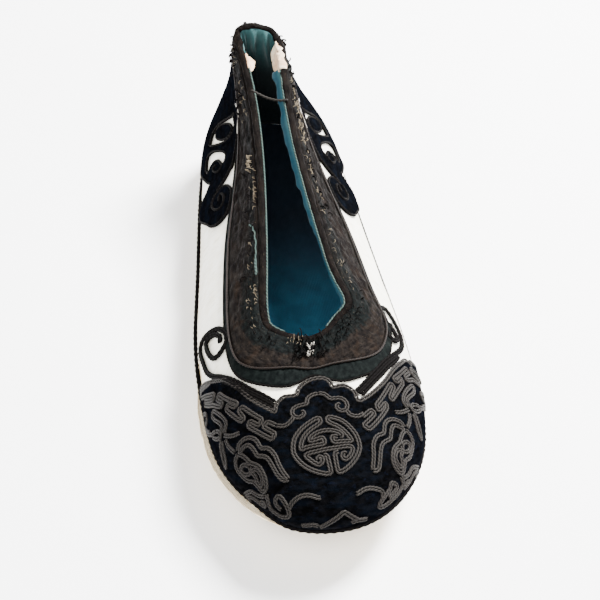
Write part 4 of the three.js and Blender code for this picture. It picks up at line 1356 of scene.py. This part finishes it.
RUYI_LEFT = [
    (417.8, 413.0), (419.5, 412.4), (420.4, 414.3), (418.3, 416.6), (414.5, 417.5), (411.1, 415.8), (409.8, 413.0),
    (410.8, 409.9), (414.8, 407.7), (419.5, 406.9), (423.4, 406.2), (423.6, 403.8), (424.8, 401.4), (428.9, 399.1),
    (433.9, 398.3),
]
RUYI_RIGHT = [
    (433.9, 398.3), (438.6, 398.9), (441.7, 401.4), (444.2, 403.8), (448.3, 403.9), (452.6, 404.1), (456.4, 406.4),
    (458.4, 410.5), (457.3, 414.3), (454.5, 415.5), (450.8, 414.3), (448.9, 411.1), (450.8, 408.9), (452.0, 410.2),
]
RUYI_TAIL_LEFT = [(411.0, 416.5), (408.9, 418.9), (405.4, 422.1), (401.4, 423.5), (398.0, 423.0), (395.0, 422.3)]
RUYI_TAIL_RIGHT = [(457.6, 415.5), (459.5, 418.9), (463.9, 421.1), (468.3, 421.3), (472.6, 419.3)]
# The medallion's cords in twentieths of a pixel from its corner
MEDALLION_CORNER = (404, 414)
MEDALLION_UNIT = 20
MEDALLION = [
    [(590, 768), (652, 765), (672, 880), (690, 1000), (700, 1085), (620, 1095), (520, 1065), (430, 1030), (340, 985),
     (260, 930), (180, 850), (120, 770), (82, 690), (75, 600), (85, 520), (115, 430), (170, 350), (240, 280),
     (330, 215), (420, 165), (510, 118), (585, 110), (600, 190), (520, 240), (430, 285), (345, 345), (280, 415),
     (235, 490), (212, 570), (215, 640), (290, 605), (400, 590), (500, 580), (630, 572), (632, 500), (600, 450),
     (520, 475), (430, 495), (365, 500), (400, 430), (470, 385), (560, 350), (660, 338), (760, 345), (850, 370),
     (920, 410), (955, 455), (945, 485), (912, 468)],
    [(870, 735), (790, 740), (800, 880), (805, 960), (825, 1090), (890, 1080), (980, 1035), (1070, 965), (1150, 880),
     (1205, 790), (1238, 700), (1235, 620), (1215, 530), (1180, 440), (1120, 350), (1050, 265), (970, 195),
     (880, 150), (800, 120), (725, 110), (710, 180), (790, 235), (880, 280), (960, 345), (1030, 425), (1080, 500),
     (1120, 570), (1020, 565), (920, 558), (800, 565), (765, 500), (770, 450), (830, 460), (880, 470)],
    [(495, 845), (482, 800), (520, 775), (570, 800), (570, 870), (510, 935), (430, 890), (350, 820), (268, 740),
     (350, 705), (480, 690), (600, 672), (720, 662), (850, 660), (980, 650), (1080, 655), (1120, 690), (1095, 770),
     (1045, 840), (975, 885), (925, 850), (920, 790), (955, 745), (990, 785)],
]
TOE_PEAK = [
    (424.6, 514.1), (430.3, 512.3), (435.9, 509.8), (440.9, 507.3), (447.1, 502.9), (450.3, 505.4), (454.0, 508.2),
    (458.4, 510.8),
]
TOE_WAVE = [(409.0, 510.5), (414.0, 511.0), (420.0, 511.3), (424.0, 513.0)]
CURVED_LEFT = [BOW_UPPER_LOOP, BOW_SIDE_LOOP, BOW_KNOT, BOW_RIBBON, BOW_TO_BAT, BAT_OUTER, BAT_INNER, COIN_RIM,
               COIN_KNOT, RIBBON_UPPER, RIBBON_LOWER, CURL, ARCH, TOE_WAVE]
CORD_HEIGHT = VELVET_TOP + 0.28


def build_toe_cords():
    left = Strands()
    right = Strands()
    both = ((left, lambda chart: chart), (right, mirrored))
    for marks in CURVED_LEFT:
        line = curved(chart_of(marks), steps=6)
        for strands, side in both:
            double_cord(strands, side(line), CORD_HEIGHT, radius=0.42, gap=0.50, sigma=0.8, pitch=1.5)
    fret = chart_of(FRET)
    for strands, side in both:
        double_cord(strands, side(fret), CORD_HEIGHT, radius=0.45, gap=0.56, sigma=0.9, pitch=1.5)
    tail = curved(chart_of(BOW_TAIL), steps=6)
    for strands, side in both:
        double_cord(strands, side(tail), CORD_HEIGHT, radius=0.36, gap=0.36, sigma=0.8, pitch=1.5)
    left.piece("toe_cords_left", grey_cord, "grey_cord")
    right.piece("toe_cords_right", grey_cord, "grey_cord")

    middle = Strands()
    for marks in (RUYI_LEFT, RUYI_RIGHT, RUYI_TAIL_LEFT, RUYI_TAIL_RIGHT):
        double_cord(middle, curved(chart_of(marks), steps=6), CORD_HEIGHT, radius=0.42, gap=0.52, sigma=0.8,
                    pitch=1.5)
    double_cord(middle, chart_of(TOE_PEAK), CORD_HEIGHT, radius=0.42, gap=0.52, sigma=0.8, pitch=1.5)
    middle.piece("toe_cords_middle", grey_cord, "grey_cord")

    medallion = Strands()
    for marks in MEDALLION:
        spots = [(MEDALLION_CORNER[0] + x / MEDALLION_UNIT, MEDALLION_CORNER[1] + y / MEDALLION_UNIT) for x, y in marks]
        double_cord(medallion, chart_of(spots), CORD_HEIGHT, radius=0.45, gap=0.55, sigma=1.0, pitch=1.5)
    medallion.piece("toe_cords_medallion", grey_cord, "grey_cord")

    edge = Strands()
    double_cord(edge, cap_line, 1.0, radius=0.48, gap=0.52, sigma=1.0, pitch=1.8)
    edge.piece("cap_edge_cords", grey_cord, "grey_cord")


build_toe_velvet()
build_heel_scroll("heel_velvet_right", "heel_scroll_right", False)
build_heel_scroll("heel_velvet_left", "heel_scroll_left", True)
build_side_cords()
build_toe_cords()
def build_lining_fold():
    """The lining that has come loose hangs over the opening from the right of the bound edge."""
    columns = 420
    rows = 12
    place = np.linspace(2.5, 8.4, columns)
    centre, out, up = rim_frame(place)
    run = along_length(place)
    width = np.interp(place, [2.5, 3.0, 4.2, 5.0, 5.7, 6.5, 7.0, 8.4], [3.2, 3.3, 2.6, 1.9, 1.0, 1.2, 2.0, 0.5])
    width = width * (1 + 0.22 * noise(run, run * 0, 7, 81, 2))
    share = np.linspace(0, 1, rows)[:, None]
    wave = 0.5 * noise(run[None, :], share * 3, 4.5, 82, 2) * share
    reach = share * width[None, :]
    drop_down = 0.5 + 0.9 * reach + wave
    outer = (centre[None] - out[None] * (1.1 + reach)[..., None] - up[None] * drop_down[..., None])
    inner = outer - up[None] * 0.45 + out[None] * 0.2
    points, faces = closed_sheet(outer, inner, False)
    uv = np.stack(np.broadcast_arrays(run[None, :], reach), -1).reshape(-1, 2)
    shade = np.broadcast_to(0.9 * smoothstep(share, 0.1, 0.7), reach.shape).reshape(-1)
    mesh_piece("lining_fold", points, faces, loose_cloth, np.concatenate([uv, uv]),
               {"shade": np.concatenate([shade, shade])})


def build_torn_padding(name, start, end, reach_in, reach_out, last_angles, seed):
    """Cream padding that shows where the bound edge is torn at the collar."""
    columns = 60
    place = np.linspace(start, end, columns)
    centre, out, up = rim_frame(place)
    run = along_length(place)
    edge = np.sin(np.linspace(0, math.pi, columns)) ** 0.45
    turned = np.linspace(last_angles[0], last_angles[1], columns) + 0.5 * noise(run, run * 0, 2.4, seed + 4, 2)
    inward_reach = reach_in * edge * (1 + 0.3 * noise(run, run * 0, 2.2, seed, 2))
    outward_reach = reach_out * edge * (1 + 0.5 * noise(run, run * 0, 2.0, seed + 1, 2))

    def sheet(lift):
        rows = []
        for share in np.linspace(1, 0.1, 12):
            loose = 2.6 * edge * math.sin(math.pi * share)
            rows.append(at(place, inward_reach * share, -UPPER_WALL - 0.35 - lift - loose))
        for turn in np.linspace(0, 1, 10):
            angle = math.pi + (turned - math.pi) * turn
            rows.append(centre + out * (np.cos(angle) * (1.8 + lift))[:, None]
                        + up * (np.sin(angle) * (1.3 + lift))[:, None])
        if reach_out:
            for share in np.linspace(0.1, 1, 8):
                height = np.full(columns, OVERLAY_GAP + BAND_THICKNESS + 0.5 + lift)
                rows.append(at(place, outward_reach * share, height))
        return np.array(rows)

    rough = sheet(0.0)
    lumps = 0.45 + 0.5 * noise(run[None, :], np.arange(len(rough))[:, None] * 0.6, 1.8, seed + 2, 3)
    fade = edge[None, :] * np.sin(np.linspace(0, math.pi, len(rough)))[:, None] ** 0.3
    outer = rough + (sheet(1.0) - rough) * (lumps * fade + 0.15)[..., None]
    inner = sheet(-0.4)
    points, faces = closed_sheet(outer, inner, False)
    uv = np.stack(np.broadcast_arrays(run[None, :], np.arange(len(rough))[:, None] * 0.7), -1).reshape(-1, 2)
    nothing = np.zeros(len(points))
    mesh_piece(name, points, faces, padding_cloth, np.concatenate([uv, uv]), {"shade": nothing})


# Height over the upper at which a loose thread starts, inside the cloth
FRAY_ROOT = 0.9


class Frays:
    """Short loose threads worked out of the cloth."""

    def __init__(self, seed):
        self.strands = Strands()
        self.dice = np.random.default_rng(seed)

    def add(self, place, down, length, heading, lift=0.8, base=2.2, radius=0.16, out=0.0):
        """One thread over the wall: heading 0 runs along the rim and a quarter turn runs down the wall."""
        dice = self.dice
        share = np.linspace(0, 1, 9)
        bend = dice.uniform(-0.45, 0.45)
        angle = heading + bend * (share - 0.3)
        step = length / len(share)
        run = along_length(place) + np.cumsum(np.cos(angle)) * step
        deep = down + np.cumsum(np.sin(angle)) * step
        rise = FRAY_ROOT + (base - FRAY_ROOT) * smoothstep(share, 0, 0.3)
        height = rise + lift * np.sin(share * math.pi * dice.uniform(0.6, 1.2)) + out * share ** 1.3
        points = at(place_of(np.clip(run, 0, table_along[-1])), deep, height)
        points = resampled(points, 0.35)
        normals = unit_vector(np.tile([0.3, 0.2, 0.93], (len(points), 1)))
        self.strands.add(points, normals, radius * dice.uniform(0.7, 1.3), pitch=1.2, sides=5, depth=0.1)

    def scatter(self, count, start, end, top, low, length, heading=0.0, spread=0.35, **more):
        dice = self.dice
        for _ in range(count):
            self.add(dice.uniform(start, end), dice.uniform(top, low), length * dice.uniform(0.4, 1.4),
                     heading + dice.normal(0, spread) + math.pi * dice.integers(0, 2), **more)


# A strip of the white silk that shows between the velvet and the band at the heel
WHITE_SLIVER = [(385.8, 141.0), (387.5, 147.0), (387.0, 154.0), (385.8, 161.0), (385.0, 167.0)]

# The shredded teal thread on the left of the band and its thick lower part: section and millimetres below the rim
TEAL_THREAD = [
    (16.86, 5.0), (16.81, 3.8), (16.76, 2.5), (16.70, 2.1), (16.64, 0.9), (16.56, 1.1), (16.46, 0.2), (16.36, 0.6),
    (16.27, 0.2), (16.20, 0.7), (16.15, 0.4),
]
TEAL_SHRED = [(16.17, 0.5), (16.05, 0.6), (15.94, 0.3), (15.84, 0.2)]


def build_wear():
    pale = Frays(91)
    pale.scatter(44, 2.6, 4.8, 0.3, 5, 3.0, radius=0.1, spread=0.2, lift=0.2)
    pale.scatter(18, 4.8, 6.8, 0.3, 4, 2.4, radius=0.08, spread=0.2, lift=0.2)
    pale.scatter(16, 14.4, 17.6, 3.0, 5.4, 2.4, radius=0.07, spread=0.2, lift=0.2)
    pale.scatter(18, 3.0, 3.8, 3.0, 9.0, 2.8, radius=0.16, spread=0.5, lift=0.3)
    pale.scatter(20, 17.75, 18.05, 2.0, 4.6, 1.8, spread=1.0, lift=1.2, radius=0.13)
    pale.scatter(22, 18.4, 20.6, 1, 8, 3.0, radius=0.09, spread=0.2, lift=0.2)
    pale.scatter(16, 11.4, 12.6, 0.5, 3, 2.2, heading=1.4, radius=0.10, spread=0.5)
    pale.strands.piece("pale_frays", frayed_thread, "grey_cord")

    knot = Frays(92)
    knot.scatter(22, 10.75, 11.2, 4.0, 8.5, 2.4, heading=1.2, spread=0.8, lift=1.2, base=1.9, radius=0.2)
    knot.strands.piece("throat_knot", silver_thread, "grey_cord")

    sliver = Strands()
    for left in (True, False):
        chart = side_chart(left_marks(WHITE_SLIVER), left)
        points, normals = chart_line(curved(chart, steps=6), VELVET_TOP + 0.1, spacing=0.4)
        sliver.add(points, normals, 0.42, pitch=9.0, depth=0.05, flat=0.6)
    sliver.piece("white_sliver", silver_thread, "white_silk")

    dark = Frays(93)
    dark.scatter(70, 9.9, 12.0, 0.5, 10.0, 4.0, heading=1.2, spread=1.0, lift=1.2, base=1.9, radius=0.26)
    dark.scatter(20, 18.8, 21.2, 2, 12, 2.6, spread=1.5, out=1.5, base=1.4, lift=0.5, radius=0.38)
    dark.scatter(16, 20.9, 22.0, 0, 3, 2.6, spread=0.5, out=0.6, base=1.8, lift=0.8, radius=0.5)
    dark.scatter(12, 0.0, 1.5, 0, 3, 2.6, spread=0.5, out=0.6, base=1.8, lift=0.8, radius=0.45)
    dark.scatter(40, 2.2, 5.2, 1, 9, 3.6, spread=0.5, out=0.5, base=1.8, lift=0.8, radius=0.3)
    dark.scatter(40, 13.4, 18.0, 1, 9, 3.4, spread=0.5, radius=0.2)
    dark.scatter(36, 6.0, 12.0, 1, 8, 3.0, spread=0.6, radius=0.2)
    dark.strands.piece("dark_frays", black_cord, "black_cord")

    shredded = Strands()
    for chart, radius, depth, flat in ((TEAL_THREAD, 0.27, 0.3, 1.0), (TEAL_SHRED, 0.58, 0.08, 0.6)):
        points, normals = chart_line(curved(chart, steps=6), 2.0, spacing=0.4, sigma=0.4)
        shredded.add(points, normals, radius, pitch=2.0, depth=depth, flat=flat)
    shredded.piece("shredded_teal_thread", teal_cord, "teal_lining")

    seam = Frays(94)
    seam.scatter(18, 17.0, 17.8, 0.1, 1.2, 2.0, spread=0.2, lift=0.15, radius=0.065)
    seam.scatter(10, 15.2, 15.7, 0.1, 1.2, 2.0, spread=0.2, lift=0.15, radius=0.065)
    seam.strands.piece("frayed_seam", frayed_thread, "grey_cord")

    bridge = Strands()
    start = rim_frame(np.array([19.05]))
    end = rim_frame(np.array([3.1]))
    share = np.linspace(0, 1, 60)[:, None]
    first = start[0][0] + start[2][0] * 1.4
    last = end[0][0] + end[2][0] * 1.4
    line = first + (last - first) * share
    line[:, 2] -= 2.2 * np.sin(share[:, 0] * math.pi)
    line[:, 1] -= 3.0 * smoothstep(share[:, 0], 0, 1)
    bridge.add(line, np.tile([0.0, 0.2, 0.98], (60, 1)), 0.55, pitch=1.7, depth=0.2)
    bridge.piece("snapped_stitch", grey_cord, "grey_cord")


def ring_cord(strands, down_at, height, radius, pitch):
    place = np.arange(1500) / 1500 * ROUND
    down = down_at(place)
    points = at(place, down, np.full(len(place), height))
    strands.add(points, wall_normal(place, share_below(place, down)), radius, pitch=pitch, closed=True, sides=6)


def build_border_cords():
    strands = Strands()
    ring_cord(strands, lambda place: band_edge(place), 1.45, 0.42, 1.6)
    strands.piece("band_edge_cord", edge_cord, "brown_silk")
    strands = Strands()
    ring_cord(strands, lambda place: collar_reach(place) - 0.1, 0.75, 0.5, 1.8)
    strands.piece("border_edge_cord", black_cord, "black_cord")


build_lining_fold()
build_torn_padding("torn_padding_right", 1.66, 2.56, 7.4, 0.0, (2.8, 0.6), 101)
build_torn_padding("torn_padding_left", 19.5, 19.86, 0.5, 0.0, (2.4, 2.8), 105)
build_wear()
build_border_cords()
build_upper()
build_lining()
build_band()
build_border()
build_base_cord()
build_rim()
build_sole()
build_insole()

# Floor, light and camera

floor_mesh = bpy.data.meshes.new("floor")
floor_half = 2.0
floor_mesh.from_pydata([(-floor_half, -floor_half, 0), (floor_half, -floor_half, 0),
                        (floor_half, floor_half, 0), (-floor_half, floor_half, 0)], [], [(0, 1, 2, 3)])
floor = bpy.data.objects.new("floor", floor_mesh)
bpy.context.scene.collection.objects.link(floor)
floor_material = bpy.data.materials.new("floor_paper")
floor_material.use_nodes = True
floor_material.node_tree.nodes["Principled BSDF"].inputs["Base Color"].default_value = (0.98, 0.98, 0.98, 1)
floor_material.node_tree.nodes["Principled BSDF"].inputs["Roughness"].default_value = 0.8
floor_mesh.materials.append(floor_material)

world = bpy.data.worlds.new("studio")
bpy.context.scene.world = world
world.use_nodes = True
world.node_tree.nodes["Background"].inputs["Color"].default_value = (0.98, 0.99, 1.0, 1)
world.node_tree.nodes["Background"].inputs["Strength"].default_value = 1.5


def area_light(name, position, target, size, energy):
    light = bpy.data.lights.new(name, "AREA")
    light.size = size
    light.energy = energy
    made = bpy.data.objects.new(name, light)
    made.location = position
    made.rotation_euler = (Vector(target) - Vector(position)).to_track_quat("-Z", "Y").to_euler()
    bpy.context.scene.collection.objects.link(made)


area_light("key", (0.7, 0.5, 1.1), (0, 0, 0.02), 0.45, 150)
area_light("fill", (-0.5, -0.9, 1.0), (0, 0, 0.02), 1.2, 30)

# The photograph's camera position, turned to the middle of the one shoe and framed to it
VIEW_TARGET = (0.002, -0.012, 0.030)
VIEW_FOCAL = 1560
IMAGE_WIDTH = 600
camera = bpy.data.cameras.new("camera")
camera.sensor_width = 36
camera.lens = 36 * VIEW_FOCAL / IMAGE_WIDTH
camera.clip_start = 0.01
camera_object = bpy.data.objects.new("camera", camera)
camera_object.location = PHOTO_POSITION * MM
direction = Vector(VIEW_TARGET) - camera_object.location
camera_object.rotation_euler = direction.to_track_quat("-Z", "Y").to_euler()
bpy.context.scene.collection.objects.link(camera_object)
bpy.context.scene.camera = camera_object
